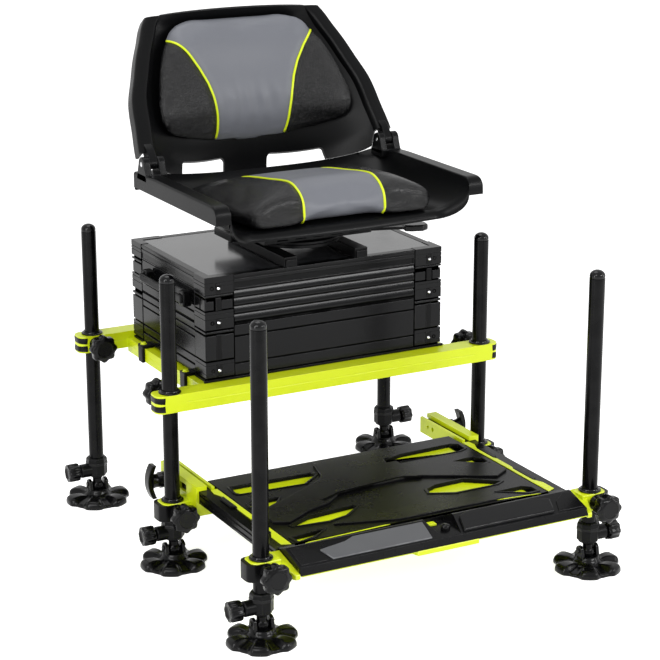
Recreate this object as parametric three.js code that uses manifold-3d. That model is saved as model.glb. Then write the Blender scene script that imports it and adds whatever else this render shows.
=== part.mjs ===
// Fishing seat box on six adjustable legs: a clamp frame, a two-tier tackle box,
// a folding seat on a swivel, and a footplate that slides out in front.
// Millimetres, +Z up. The sitter faces -Y, and left means -X, as seen from the front.
import * as THREE from "three";
import { mergeVertices } from "three/addons/utils/BufferGeometryUtils.js";
import Module from "manifold-3d";

// Clearances
const slip = 0.3;
const overrun = 1;
const padGap = 0.6;
const dishGap = 1.8;

// Leg tubes
const tubeRadius = 12.5;
const tubeWall = 2;
const capPlug = 12;
const capDome = 4;
const capShoulderShare = 0.78;
const capShoulderDropShare = 0.3;
const tubeSeat = 62;
const legSpan = 289;
const frontLegSplay = 4;
const frontLegSpan = legSpan + frontLegSplay;
const rearLegY = 328;
const frontLegY = -329.5;
const rearLegTop = 498;
const middleLegTop = 486;
const frontLegTop = 497;

// Leg sockets and their screws
const socketRadius = 18.4;
const socketBottom = 44;
const socketTop = 80;
const bossRadius = 12;
const screwRadius = 4;
const screwHeight = 57;
const footKnobRadius = 16.5;
const footKnobThickness = 22;
const footKnobStand = 33;

// Inner legs and feet
const innerLegTop = 232;
const ballRadius = 11;
const ballHeight = 27;
const neckRadius = 8;
const neckTop = 42;
const soleRadius = 56;
const soleEdge = 5;
const soleRise = 8;
const hubRadius = 18;
const hubShoulder = 13;
const hubHeight = 22;
const cheekWidth = 16;
const cheekThickness = 6;
const cheekTop = 40;
const ballGap = 0.5;
const petalStart = 27;
const petalEnd = 50;
const petalHeight = 4;

// Clamp knobs
const clampKnobRadius = 24;
const clampKnobThickness = 22;
const clampKnobFace = 60;
const clampNeckRadius = 11;

// Clamp rails and collars
const railDepth = 36;
const railHeight = 29;
const railWall = 3.5;
const railOverhang = 29;
const railCorner = 13;
const grooveHeight = 1.6;
const grooveDepth = 0.8;
const weepRadius = 3;
const collarRadius = 17.5;
const collarHeight = 2.5;
const frontRailTop = 292.5;
const rearRailTop = 304.5;
const sideRailGap = 59;
const sideRailWidth = 28;
const sideRailOuter = legSpan - sideRailGap;
const sideRailInner = sideRailOuter - sideRailWidth;
const sideRailHeight = 24;

// Tackle box
const boxInset = 11;
const boxHalfWidth = sideRailOuter - boxInset;
const sillDepth = 4.3;
const boxFrontY = railDepth / 2 - sillDepth;
const boxRearY = rearLegY - railDepth / 2 - slip;
const boxWall = 3;
const baseBottom = 296;
const trayBottom = 384;
const lidBottom = 441;
const lidTop = 467;
const castingWidth = 53;
const castingProud = 2;
const ribDepth = 1;
const ribHeight = 2.6;
const baseRibs = 5;
const trayRibs = 4;
const padDepth = 40;
const latchWidth = 11;
const latchProud = 1.6;
const lidFrame = 16;
const lidInset = 1.5;
const lidSkin = 5;

// Carry handles
const handleFrontY = 62;
const handleRearY = 230;
const handleStand = 21;
const handleBar = 7;
const handleHeight = 13;
const handleTop = 428.5;
const handleMount = 18;
const handleMountHeight = 26;

// Seat base and swivel
const swivelY = 120;
const runnerSpan = 65;
const runnerWidth = 24;
const runnerHeight = 16;
const runnerFrontY = 14;
const runnerRearY = 226;
const discRadius = 72;
const discHeight = 6;
const swivelDiscHeight = 4.5;
const crossHalfWidth = 120;
const crossFrontY = 122;
const crossRearY = 188;
const crossHeight = 8;
const cradleHalfWidth = 100;
const cradleFrontY = 40;
const cradleRearY = 200;
const cradleTopHalfWidth = 84;

// Swivel lever
const leverPivotX = 56;
const leverPivotY = 90;
const leverReach = 152;
const leverTipX = leverPivotX + leverReach;
const leverTipY = 46;
const leverWidth = 15;
const leverPaddle = 26;
const leverThickness = 4.5;
const leverPinRadius = 4;

// Seat shell
const armOuter = 240;
const armWidth = 26;
const armInner = armOuter - armWidth;
const armTop = 602;
const armFlangeDepth = 34;
const armFlange = armTop - armFlangeDepth;
const armFrontY = -78;
const armFaceDrop = 13;
const armFaceHeight = 16;
const armFaceTop = armTop - armFaceDrop;
const armFaceBottom = armFaceTop - armFaceHeight;
const armCorner = 5;
const panHalfWidth = 165;
const panFloor = 546;
const panLipY = -61;
const panLipBottom = 533;
const panLipDrop = 8;
const panRearY = 240;
const panRimRise = 36;
const armRearDrop = 3;
const panCornerLift = 12;
const lipBow = 9;
const shellSkin = 5;

// Back hinge
const hingeY = 207;
const hingeRise = 15;
const hingeZ = armTop + hingeRise;
const hingePinRadius = 4;
const hingeLean = 34;
const earRadius = 12;
const earOuterThickness = 12;
const tongueThickness = 14;
const earInnerThickness = 12;
const earFoot = 20;
const tongueShare = 0.8;

// Seat cushion
const cushionGap = 34;
const cushionHalfWidth = armInner - cushionGap;
const cushionFrontY = -58;
const cushionRearY = 216;
const cushionCrest = 612;
const cushionRearTop = 578;
const seatPiping = 73;
const channelDepth = 3;
const channelHalfWidth = 4;
const noseShare = 0.2;

// Back shell
const backInset = 3;
const backHalfWidth = armOuter - backInset;
const backHeight = 266;
const backBandWidth = 30;
const backBandStart = 20;
const backBandFace = 3;
const backFlange = 23;
const backStep = 10;
const backDish = 118;
const backFootDrop = 8;
const backSkin = 5;
const notchInner = 41;
const notchOuter = 135;
const notchInnerTop = 35;
const notchOuterTop = 25;
const notchCorner = 7;

// Back cushion
const backCushionGap = 51;
const backCushionHalfWidth = backHalfWidth - backCushionGap;
const backCushionBottom = 54;
const backCushionTop = 258;
const backCushionThickness = 46;
const edgeLiftShare = 1 / 3;

// Footplate brackets
const bracketGap = 24;
const bracketWidth = 32;
const bracketOuter = legSpan - bracketGap;
const bracketInner = bracketOuter - bracketWidth;
const bracketFrontY = -41;
const bracketRearY = 100;
const bracketBottom = 81.5;
const channelBottom = 91;
const bracketTop = 141;
const bracketWindowY = 12;
const bracketWindowWidth = 26;
const bracketWindowHeight = 14;
const bracketHoleRadius = 4;
const bracketHoleInset = 12;

// Slide rails
const slideInset = 6;
const slideWidth = 21;
const slideInner = bracketInner + slideInset;
const slideOuter = slideInner + slideWidth;
const slideBottom = 112;
const slideTop = 133;
const slideFrontY = -311.5;
const slideRearY = 95;
const slideWall = 3;
const slideGroove = 7;

// T-shaped locking knobs
const teeY = 70;
const teeZ = 120;
const teeHubRadius = 11;
const teeHubStand = 1;
const teeStand = 38;
const teeCentre = bracketOuter + teeStand;
const teeThickness = 8;
const teeHalfHeight = 29;
const teeWidth = 18;
const teeBend = 9;
const teeTaperShare = 0.4;

// Footplate
const beamFrontY = -348;
const beamRearY = -312;
const beamTop = 123;
const frontClampTop = 132.5;
const frontClampRoot = 25;
const frontClampInner = frontLegSpan - frontClampRoot;
const sideMemberGap = 6.5;
const sideMemberWidth = 27.5;
const sideMemberOuter = slideInner - sideMemberGap;
const sideMemberInner = sideMemberOuter - sideMemberWidth;
const sideMemberBottom = 110;
const plateTop = 128;
const plateThickness = 3;
const rearMemberY = -4;
const rearMemberDepth = 25;
const deckGap = 11;
const deckHalfWidth = slideInner - deckGap;
const deckTop = 134;
const deckFrontY = -308;
const barHeight = 2.5;
const barHalfWidth = 22;
const lipInset = 6;
const lipHalfWidth = slideOuter - lipInset;
const lipStartY = -316;
const lipRidgeY = -332;
const lipRidge = 140;
const lipNoseY = -378;
const lipNose = 126;
const lipToeY = -383;
const lipToe = 112;
const lipSkin = 5;
const notchHalfWidth = 20;
const notchFloor = 127;

// Roundness: sides of the turned pieces
const tubeSides = 16;
const smallSides = 10;
const discSides = 32;
const soleSides = 24;
const cornerSteps = 3;
const earSteps = 8;
const teeSteps = 8;
const ballSteps = 4;
const clampLobes = 10;
const footLobes = 8;
const petals = 6;
const stepsPerLobe = 3;
const lobeShare = 0.09;

const wasm = await Module();
wasm.setup();

// Solids from closed geometries, and back

function solid(geometry) {
  const bare = geometry.clone();
  bare.deleteAttribute("normal");
  bare.deleteAttribute("uv");
  const welded = mergeVertices(bare);
  const places = welded.attributes.position.array;
  const corners = welded.index.array;
  const kept = [];
  for (let i = 0; i < corners.length; i += 3) {
    const [a, b, c] = corners.slice(i, i + 3);
    if (a !== b && b !== c && c !== a) kept.push([a, b, c]);
  }
  let volume = 0;
  const at = (k) => new THREE.Vector3().fromArray(places, 3 * k);
  for (const [a, b, c] of kept) volume += at(a).dot(at(b).cross(at(c)));
  const facing = volume < 0 ? kept.map(([a, b, c]) => [a, c, b]) : kept;
  const vertProperties = new Float32Array(places);
  const triVerts = new Uint32Array(facing.flat());
  return new wasm.Manifold(new wasm.Mesh({ numProp: 3, vertProperties, triVerts }));
}

function geometryOf(body) {
  const mesh = body.getMesh();
  const places = [];
  for (let i = 0; i < mesh.numVert; i += 1) {
    const k = i * mesh.numProp;
    places.push(mesh.vertProperties[k], mesh.vertProperties[k + 1], mesh.vertProperties[k + 2]);
  }
  const geometry = new THREE.BufferGeometry();
  geometry.setAttribute("position", new THREE.Float32BufferAttribute(places, 3));
  geometry.setIndex(Array.from(mesh.triVerts));
  geometry.computeVertexNormals();
  return geometry;
}

const join = (bodies) => bodies.reduce((whole, body) => whole.add(body));
const cut = (body, tools) => tools.reduce((rest, tool) => rest.subtract(tool), body);

// Blocks between two limits on each axis
function block([x0, x1], [y0, y1], [z0, z1]) {
  const box = new THREE.BoxGeometry(Math.abs(x1 - x0), Math.abs(y1 - y0), Math.abs(z1 - z0));
  return solid(box.translate((x0 + x1) / 2, (y0 + y1) / 2, (z0 + z1) / 2));
}

// Extrusions of an outline: X takes [y, z] points, Y takes [z, x] points, Z takes [x, y] points
const TURNS = {
  x: new THREE.Matrix4().set(0, 0, 1, 0, 1, 0, 0, 0, 0, 1, 0, 0, 0, 0, 0, 1),
  y: new THREE.Matrix4().set(0, 1, 0, 0, 0, 0, 1, 0, 1, 0, 0, 0, 0, 0, 0, 1),
  z: new THREE.Matrix4(),
};

function prism(axis, outline, from, to, holes = []) {
  const shape = new THREE.Shape(outline.map(([a, b]) => new THREE.Vector2(a, b)));
  for (const hole of holes) {
    const rim = hole.map(([a, b]) => new THREE.Vector2(a, b));
    shape.holes.push(new THREE.Path(rim));
  }
  const depth = Math.abs(to - from);
  const extruded = new THREE.ExtrudeGeometry(shape, { depth, bevelEnabled: false });
  return solid(extruded.translate(0, 0, Math.min(from, to)).applyMatrix4(TURNS[axis]));
}

function circle(radius, sides, a = 0, b = 0, turn = 0) {
  const steps = Array.from({ length: sides }, (_, k) => (2 * Math.PI * (k + turn)) / sides);
  return steps.map((t) => [a + radius * Math.cos(t), b + radius * Math.sin(t)]);
}

const rod = (axis, radius, from, to, [a, b], sides = tubeSides) =>
  prism(axis, circle(radius, sides, a, b), from, to);

// A lobed outline: the radius swings in by a share of itself between the lobes
function lobed(radius, lobes, a = 0, b = 0) {
  const count = lobes * stepsPerLobe;
  const steps = Array.from({ length: count }, (_, k) => (2 * Math.PI * k) / count);
  const reach = (t) => radius * (1 - (lobeShare * (1 - Math.cos(lobes * t))) / 2);
  return steps.map((t) => [a + reach(t) * Math.cos(t), b + reach(t) * Math.sin(t)]);
}

// A turned solid about Z from [radius, height] points
function turned(profile, sides = tubeSides) {
  const points = profile.map(([r, z]) => new THREE.Vector2(r, z));
  return solid(new THREE.LatheGeometry(points, sides).rotateX(Math.PI / 2));
}

// A bar outline between x0 and x1, half wide each way, with rounded corners at the named ends
function barOutline(x0, x1, half, corner, roundLow, roundHigh) {
  const arc = (x, y, start) =>
    Array.from({ length: cornerSteps + 1 }, (_, k) => {
      const t = start + ((Math.PI / 2) * k) / cornerSteps;
      return [x + corner * Math.cos(t), y + corner * Math.sin(t)];
    });
  const quarter = Math.PI / 2;
  const low = roundLow
    ? [...arc(x0 + corner, half - corner, quarter), ...arc(x0 + corner, corner - half, 2 * quarter)]
    : [[x0, half], [x0, -half]];
  const high = roundHigh
    ? [...arc(x1 - corner, corner - half, 3 * quarter), ...arc(x1 - corner, half - corner, 0)]
    : [[x1, -half], [x1, half]];
  return [...low, ...high];
}

// A skin between two grids of points, closed round its rims
function skin(front, back) {
  const rows = front.length;
  const columns = front[0].length;
  const places = [...front.flat(), ...back.flat()].flatMap((p) => [p.x, p.y, p.z]);
  const f = (i, j) => i * columns + j;
  const b = (i, j) => rows * columns + i * columns + j;
  const faces = [];
  const quad = (p, q, r, s) => faces.push(p, q, r, p, r, s);
  for (let i = 0; i + 1 < rows; i += 1) {
    for (let j = 0; j + 1 < columns; j += 1) {
      quad(f(i, j), f(i, j + 1), f(i + 1, j + 1), f(i + 1, j));
      quad(b(i, j), b(i + 1, j), b(i + 1, j + 1), b(i, j + 1));
    }
  }
  for (let j = 0; j + 1 < columns; j += 1) {
    quad(f(0, j + 1), f(0, j), b(0, j), b(0, j + 1));
    quad(f(rows - 1, j), f(rows - 1, j + 1), b(rows - 1, j + 1), b(rows - 1, j));
  }
  for (let i = 0; i + 1 < rows; i += 1) {
    quad(f(i, 0), f(i + 1, 0), b(i + 1, 0), b(i, 0));
    quad(f(i + 1, columns - 1), f(i, columns - 1), b(i, columns - 1), b(i + 1, columns - 1));
  }
  const geometry = new THREE.BufferGeometry();
  geometry.setAttribute("position", new THREE.Float32BufferAttribute(places, 3));
  geometry.setIndex(faces);
  return solid(geometry);
}

// The same grid moved along its own normals
function offset(grid, distance) {
  const last = grid.length - 1;
  const end = grid[0].length - 1;
  return grid.map((row, i) =>
    row.map((point, j) => {
      const along = grid[Math.min(i + 1, last)][j].clone().sub(grid[Math.max(i - 1, 0)][j]);
      const across = grid[i][Math.min(j + 1, end)].clone().sub(grid[i][Math.max(j - 1, 0)]);
      return point.clone().addScaledVector(across.cross(along).normalize(), distance);
    }),
  );
}

// A closed body through rings of points, with a fan over each end
function lofted(rings) {
  const count = rings[0].length;
  const middle = (ring) => ring.reduce((sum, p) => sum.add(p), new THREE.Vector3()).divideScalar(count);
  const all = [...rings.flat(), middle(rings[0]), middle(rings[rings.length - 1])];
  const faces = [];
  for (let i = 0; i + 1 < rings.length; i += 1) {
    for (let j = 0; j < count; j += 1) {
      const a = i * count + j;
      const b = i * count + ((j + 1) % count);
      faces.push(a, b, b + count, a, b + count, a + count);
    }
  }
  const start = rings.length * count;
  const final = (rings.length - 1) * count;
  for (let j = 0; j < count; j += 1) {
    const next = (j + 1) % count;
    faces.push(start, next, j, start + 1, final + j, final + next);
  }
  const geometry = new THREE.BufferGeometry();
  const places = all.flatMap((p) => [p.x, p.y, p.z]);
  geometry.setAttribute("position", new THREE.Float32BufferAttribute(places, 3));
  geometry.setIndex(faces);
  return solid(geometry);
}

// Straight lines through a table of [share, value] pairs
function between(table, share) {
  const k = table.findIndex(([s]) => s >= share);
  if (k <= 0) return k === 0 ? table[0][1] : table[table.length - 1][1];
  const [s0, v0] = table[k - 1];
  const [s1, v1] = table[k];
  return v0 + ((v1 - v0) * (share - s0)) / (s1 - s0);
}

// Materials

const paint = (color, roughness, metalness) =>
  new THREE.MeshStandardMaterial({ color, roughness, metalness });
const LIME = paint(0xd3e01c, 0.42, 0.1);
const ANODISED = paint(0x17181a, 0.38, 0.6);
const PLASTIC = paint(0x1b1c1e, 0.6, 0);
const KNOB = paint(0x141416, 0.45, 0);
const BOX = paint(0x202124, 0.5, 0.1);
const GREY_PANEL = paint(0x3b3d42, 0.35, 0.1);
const STEEL = paint(0x9a9ca0, 0.35, 0.9);
const VINYL = paint(0x5c6069, 0.55, 0);
const RUBBER = paint(0x161617, 0.8, 0);

function piece(name, body, material, parent) {
  const mesh = new THREE.Mesh(geometryOf(body), material);
  mesh.name = name;
  parent.add(mesh);
  return mesh;
}

const seatBox = new THREE.Group();
const SIDES = [["left", -1], ["right", 1]];

// Legs

const bore = tubeRadius - tubeWall;
const innerRadius = bore - slip;
const capShoulder = tubeRadius * capShoulderShare;

const tubeBody = (top) =>
  turned([
    [0, top - capPlug],
    [bore, top - capPlug],
    [bore, tubeSeat + slip],
    [tubeRadius, tubeSeat + slip],
    [tubeRadius, top - capDome],
    [capShoulder, top - capDome * capShoulderDropShare],
    [0, top],
  ]);

// The socket is eight-sided, with a boss for its screw pointing outwards
function socketBody() {
  const shell = prism("z", circle(socketRadius, 8, 0, 0, 0.5), socketBottom, socketTop);
  const boss = rod("x", bossRadius, 0, footKnobStand - slip, [0, screwHeight]);
  return cut(shell.add(boss), [
    rod("z", tubeRadius + slip, tubeSeat, socketTop + overrun, [0, 0]),
    rod("z", innerRadius + slip, socketBottom - overrun, tubeSeat + overrun, [0, 0]),
    rod("x", screwRadius + slip, 0, footKnobStand + overrun, [0, screwHeight], smallSides),
  ]);
}

function footKnobBody() {
  const end = footKnobStand + footKnobThickness;
  const grip = prism("x", lobed(footKnobRadius, footLobes, 0, screwHeight), footKnobStand, end);
  return grip.add(rod("x", screwRadius, innerRadius + slip, end - overrun, [0, screwHeight], smallSides));
}

// The inner leg ends in a ball
function innerLegBody() {
  const neckAngle = Math.acos(neckRadius / ballRadius);
  const arc = Array.from({ length: ballSteps + 1 }, (_, k) => {
    const t = -Math.PI / 2 + ((neckAngle + Math.PI / 2) * k) / ballSteps;
    return [ballRadius * Math.cos(t), ballHeight + ballRadius * Math.sin(t)];
  });
  const shoulder = innerRadius - neckRadius;
  return turned([
    ...arc,
    [neckRadius, neckTop],
    [innerRadius, neckTop + shoulder],
    [innerRadius, innerLegTop],
    [0, innerLegTop],
  ]);
}

// The foot is a flat sole with six raised petals and two cheeks that hold the ball
function footBody() {
  const profile = [
    [0, 0],
    [soleRadius, 0],
    [soleRadius, soleEdge],
    [petalEnd, soleRise],
    [petalStart, soleRise],
    [hubRadius, hubShoulder],
    [hubRadius, hubHeight],
    [0, hubHeight],
  ];
  const points = profile.map(([r, z]) => new THREE.Vector2(r, z));
  const lathe = new THREE.LatheGeometry(points, soleSides);
  const places = lathe.rotateX(Math.PI / 2).attributes.position;
  for (let k = 0; k < places.count; k += 1) {
    const wave = (1 + Math.cos(petals * Math.atan2(places.getY(k), places.getX(k)))) / 2;
    if (Math.abs(places.getZ(k) - soleRise) < slip) places.setZ(k, soleRise + petalHeight * wave);
  }
  const inner = ballRadius + ballGap;
  const sphere = new THREE.SphereGeometry(inner, tubeSides, tubeSides / 2);
  const ball = solid(sphere.translate(0, 0, ballHeight));
  const cheekRound = cheekTop - cheekWidth / 2;
  const outer = inner + cheekThickness;
  const cheekHalf = cheekWidth / 2;
  const cheeks = [-1, 1].flatMap((s) => [
    block([s * inner, s * outer], [-cheekHalf, cheekHalf], [hubShoulder, cheekRound]),
    rod("x", cheekHalf, s * inner, s * outer, [0, cheekRound], smallSides),
  ]);
  return join([solid(lathe), ...cheeks]).subtract(ball);
}

function leg(name, x, y, top, side) {
  const group = new THREE.Group();
  group.position.set(side * x, y, 0);
  group.rotation.z = side > 0 ? 0 : Math.PI;
  piece("leg_tube_" + name, tubeBody(top), ANODISED, group);
  piece("foot_socket_" + name, socketBody(), PLASTIC, group);
  piece("foot_knob_" + name, footKnobBody(), KNOB, group);
  piece("inner_leg_" + name, innerLegBody(), ANODISED, group);
  piece("foot_" + name, footBody(), RUBBER, group);
  seatBox.add(group);
}

for (const [word, side] of SIDES) {
  leg("rear_" + word, legSpan, rearLegY, rearLegTop, side);
  leg("middle_" + word, legSpan, 0, middleLegTop, side);
  leg("front_" + word, frontLegSpan, frontLegY, frontLegTop, side);
}

// Clamps: a bore for the leg, a collar on top, and a screw knob on one face

const clampBore = (x, y, z0, z1) => rod("z", tubeRadius + slip, z0, z1, [x, y]);
const collar = (x, y, top) => rod("z", collarRadius, top - overrun, top + collarHeight, [x, y]);
const half = railDepth / 2;

const screwHole = (x, y, z, way) =>
  rod("y", screwRadius + slip, y, y + way * (half + overrun), [z, x], smallSides);

function clampKnob(name, x, y, z, way) {
  const group = new THREE.Group();
  group.position.set(x, y, z);
  group.rotation.z = way > 0 ? Math.PI : 0;
  const back = clampKnobFace - clampKnobThickness;
  const grip = prism("y", lobed(clampKnobRadius, clampLobes), -clampKnobFace, -back);
  const neck = rod("y", clampNeckRadius, -back - overrun, -(half + slip), [0, 0], smallSides);
  const screw = rod("y", screwRadius, -back, -(tubeRadius + slip), [0, 0], smallSides);
  piece(name, join([grip, neck, screw]), KNOB, group);
  seatBox.add(group);
}

// A cross rail holds a leg at each end: it is hollow between them, with a drain hole below
function crossRail(y, top, way) {
  const bottom = top - railHeight;
  const middle = (top + bottom) / 2;
  const end = legSpan + railOverhang;
  const hollow = legSpan - collarRadius - railWall;
  const outline = barOutline(-end, end, half, railCorner, true, true).map(([a, b]) => [a, b + y]);
  const face = y - way * half;
  const tools = [
    block(
      [-hollow, hollow],
      [y - half + railWall, y + half - railWall],
      [bottom + railWall, top - railWall],
    ),
    rod("z", weepRadius, bottom - overrun, bottom + railHeight / 2, [0, y], smallSides),
    block(
      [-hollow, hollow],
      [face - grooveDepth, face + grooveDepth],
      [middle, middle + grooveHeight],
    ),
  ];
  const solids = [prism("z", outline, bottom, top)];
  for (const [, side] of SIDES) {
    solids.push(collar(side * legSpan, y, top));
    tools.push(clampBore(side * legSpan, y, bottom - overrun, top + collarHeight + overrun));
    tools.push(screwHole(side * legSpan, y, middle, way));
  }
  return cut(join(solids), tools);
}

const frontRailMiddle = frontRailTop - railHeight / 2;
const rearRailMiddle = rearRailTop - railHeight / 2;
piece("front_rail", crossRail(0, frontRailTop, 1), LIME, seatBox);

// The rear rail carries the two side rails as one welded frame
const rearRail = crossRail(rearLegY, rearRailTop, -1);
const sideRails = SIDES.map(([, side]) =>
  block(
    [side * sideRailInner, side * sideRailOuter],
    [half + slip, rearLegY - half + overrun],
    [frontRailTop - sideRailHeight, frontRailTop],
  ),
);
const sideHollows = SIDES.map(([, side]) =>
  block(
    [side * (sideRailInner + railWall), side * (sideRailOuter - railWall)],
    [half, rearLegY - half - railWall],
    [frontRailTop - sideRailHeight + railWall, frontRailTop - railWall],
  ),
);
piece("rear_frame", cut(rearRail.add(join(sideRails)), sideHollows), LIME, seatBox);

for (const [word, side] of SIDES) {
  clampKnob("clamp_knob_rear_" + word, side * legSpan, rearLegY, rearRailMiddle, -1);
  clampKnob("clamp_knob_middle_" + word, side * legSpan, 0, frontRailMiddle, 1);
}

// Tackle box

const panelFrontY = boxFrontY + castingProud;
const panelHalfWidth = boxHalfWidth - castingProud;

// One box unit: walls, corner castings that stand proud of them, ribs across its front, open on top
function boxUnit(bottom, top, floor, ribs) {
  const height = top - bottom;
  const shell = block(
    [-panelHalfWidth, panelHalfWidth],
    [panelFrontY, boxRearY - castingProud],
    [bottom, top],
  );
  const castingInner = boxHalfWidth - castingWidth;
  const castings = SIDES.flatMap(([, side]) => {
    const x = [side * castingInner, side * boxHalfWidth];
    return [
      block(x, [boxFrontY, boxFrontY + castingWidth], [bottom, top]),
      block(x, [boxRearY - castingWidth, boxRearY], [bottom, top]),
    ];
  });
  const inner = panelHalfWidth - boxWall;
  const tools = [
    block(
      [-inner, inner],
      [panelFrontY + boxWall, boxRearY - castingProud - boxWall],
      [bottom + floor, top + overrun],
    ),
  ];
  for (let k = 1; k <= ribs; k += 1) {
    const z = bottom + (height * k) / (ribs + 1);
    tools.push(
      block(
        [-castingInner, castingInner],
        [panelFrontY - overrun, panelFrontY + ribDepth],
        [z, z + ribHeight],
      ),
    );
  }
  return cut(join([shell, ...castings]), tools);
}

const latchX = boxHalfWidth - castingWidth / 2;
const latch = (side, z0, z1) =>
  block(
    [side * (latchX - latchWidth / 2), side * (latchX + latchWidth / 2)],
    [boxFrontY - latchProud, boxFrontY + overrun],
    [z0, z1],
  );

// The deep unit stands on the rails on four pads
const padX = boxHalfWidth - sideRailInner;
const padHeight = [frontRailTop + slip, baseBottom + boxWall];
const pads = SIDES.flatMap(([, side]) => {
  const x = [side * sideRailInner, side * boxHalfWidth];
  return [
    block(x, [half + slip, half + padDepth], padHeight),
    block(x, [boxRearY - padDepth, boxRearY], padHeight),
  ];
});
const sill = block([-boxHalfWidth, boxHalfWidth], [boxFrontY, half], padHeight);
const baseLatches = SIDES.map(([, side]) => latch(side, baseBottom + padX, trayBottom - padX));
const base = boxUnit(baseBottom, trayBottom, boxWall, baseRibs);
piece("box_base", join([base, sill, ...pads, ...baseLatches]), BOX, seatBox);

const trayLatches = SIDES.map(([, side]) => latch(side, trayBottom + slip, lidBottom - padX));
const tray = boxUnit(trayBottom + slip, lidBottom, boxWall, trayRibs);
piece("tray_unit", join([tray, ...trayLatches]), BOX, seatBox);

// The lid is a cover with a recessed panel on top and a hollow below
const lidHalf = boxHalfWidth - lidFrame;
const lidWhole = block(
  [-boxHalfWidth, boxHalfWidth],
  [boxFrontY, boxRearY],
  [lidBottom + slip, lidTop],
);
const lidBody = cut(lidWhole, [
  block(
    [-lidHalf, lidHalf],
    [boxFrontY + lidFrame, boxRearY - lidFrame],
    [lidTop - lidInset, lidTop + overrun],
  ),
  block(
    [-panelHalfWidth + boxWall, panelHalfWidth - boxWall],
    [panelFrontY + boxWall, boxRearY - castingProud - boxWall],
    [lidBottom - overrun, lidTop - lidInset - lidSkin],
  ),
]);
const lidLatches = SIDES.map(([, side]) => latch(side, lidBottom + slip, lidTop - padX / 2));
piece("box_lid", join([lidBody, ...lidLatches]), GREY_PANEL, seatBox);

// Carry handles: a flat bar on two mounts
for (const [word, side] of SIDES) {
  const inner = boxHalfWidth + slip;
  const outer = boxHalfWidth + handleStand;
  const mountTop = handleTop + (handleMountHeight - handleHeight) / 2;
  const mount = (y) =>
    block(
      [side * inner, side * (outer - handleBar / 2)],
      [y, y + handleMount],
      [mountTop - handleMountHeight, mountTop],
    );
  const bar = block(
    [side * (outer - handleBar), side * outer],
    [handleFrontY, handleRearY],
    [handleTop - handleHeight, handleTop],
  );
  const handle = join([bar, mount(handleFrontY), mount(handleRearY - handleMount)]);
  piece("carry_handle_" + word, handle, PLASTIC, seatBox);
}

// Seat base: two runners and a disc

const runnerBottom = lidTop + slip;
const discBottom = runnerBottom + runnerHeight;
const discTop = discBottom + discHeight;
const runners = SIDES.map(([, side]) =>
  block(
    [side * (runnerSpan - runnerWidth / 2), side * (runnerSpan + runnerWidth / 2)],
    [runnerFrontY, runnerRearY],
    [runnerBottom, discBottom],
  ),
);
const runnerTie = block(
  [-runnerSpan, runnerSpan],
  [swivelY - runnerWidth, swivelY + runnerWidth],
  [discBottom - discHeight, discBottom],
);
const baseDisc = rod("z", discRadius, discBottom, discTop, [0, swivelY], discSides);
piece("seat_base", join([...runners, runnerTie, baseDisc]), PLASTIC, seatBox);

// The swivel group turns about the middle of the disc
const swivelBottom = discTop + slip;
const leverBottom = swivelBottom + swivelDiscHeight + slip;
const cradleBottom = leverBottom + leverThickness + slip;
const cradleTop = panFloor - shellSkin - slip;
const swivelParts = [
  rod("z", discRadius, swivelBottom, swivelBottom + swivelDiscHeight, [0, swivelY], discSides),
  block(
    [-crossHalfWidth, crossHalfWidth],
    [crossFrontY, crossRearY],
    [swivelBottom, cradleBottom + crossHeight / 2],
  ),
  rod("z", leverPinRadius, swivelBottom, cradleBottom + overrun, [leverPivotX, leverPivotY], smallSides),
  prism(
    "y",
    [
      [cradleBottom, -cradleHalfWidth],
      [cradleTop, -cradleTopHalfWidth],
      [cradleTop, cradleTopHalfWidth],
      [cradleBottom, cradleHalfWidth],
    ],
    cradleFrontY,
    cradleRearY,
  ),
];
piece("swivel_plate", join(swivelParts), PLASTIC, seatBox);

// The lever turns on a pin under the cradle and ends in a wide paddle
const leverLength = Math.hypot(leverTipX - leverPivotX, leverTipY - leverPivotY);
const leverStart = discRadius - leverPivotX;
const leverOutline = [
  [-leverWidth / 2, -leverWidth / 2],
  [leverLength - 2 * leverPaddle, -leverWidth / 2],
  [leverLength - leverPaddle, -leverPaddle / 2],
  [leverLength - leverWidth / 2, -leverPaddle / 2],
  [leverLength, 0],
  [leverLength - leverWidth / 2, leverPaddle / 2],
  [leverLength - leverPaddle, leverPaddle / 2],
  [leverLength - 2 * leverPaddle, leverWidth / 2],
  [-leverWidth / 2, leverWidth / 2],
];
const leverBody = prism("z", leverOutline, 0, leverThickness, [circle(leverPinRadius + slip, smallSides)]);
const lever = piece("swivel_lever", leverBody, STEEL, seatBox);
lever.position.set(leverPivotX, leverPivotY, leverBottom);
lever.rotation.z = Math.atan2(leverTipY - leverPivotY, leverTipX - leverPivotX);

// Seat shell: a dished pan between two arms, as one skin

// Height of the pan floor, as shares of its rise, at shares of its depth from the rear
const panShares = [
  [0, 1], [0.08, 0.82], [0.17, 0.42], [0.27, 0.12],
  [0.4, 0], [0.7, 0], [0.86, 0.02], [1, 0.05],
];
const panLength = panRearY - panLipY;
const panFloorAt = (y) => panFloor + panRimRise * between(panShares, (panRearY - y) / panLength);
const bowlShares = [0, 0.35, 0.62, 0.84, 0.97];
const bowl = (t) => 1 - Math.sqrt(1 - t * t);
const armInnerTop = armTop - armCorner;

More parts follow.
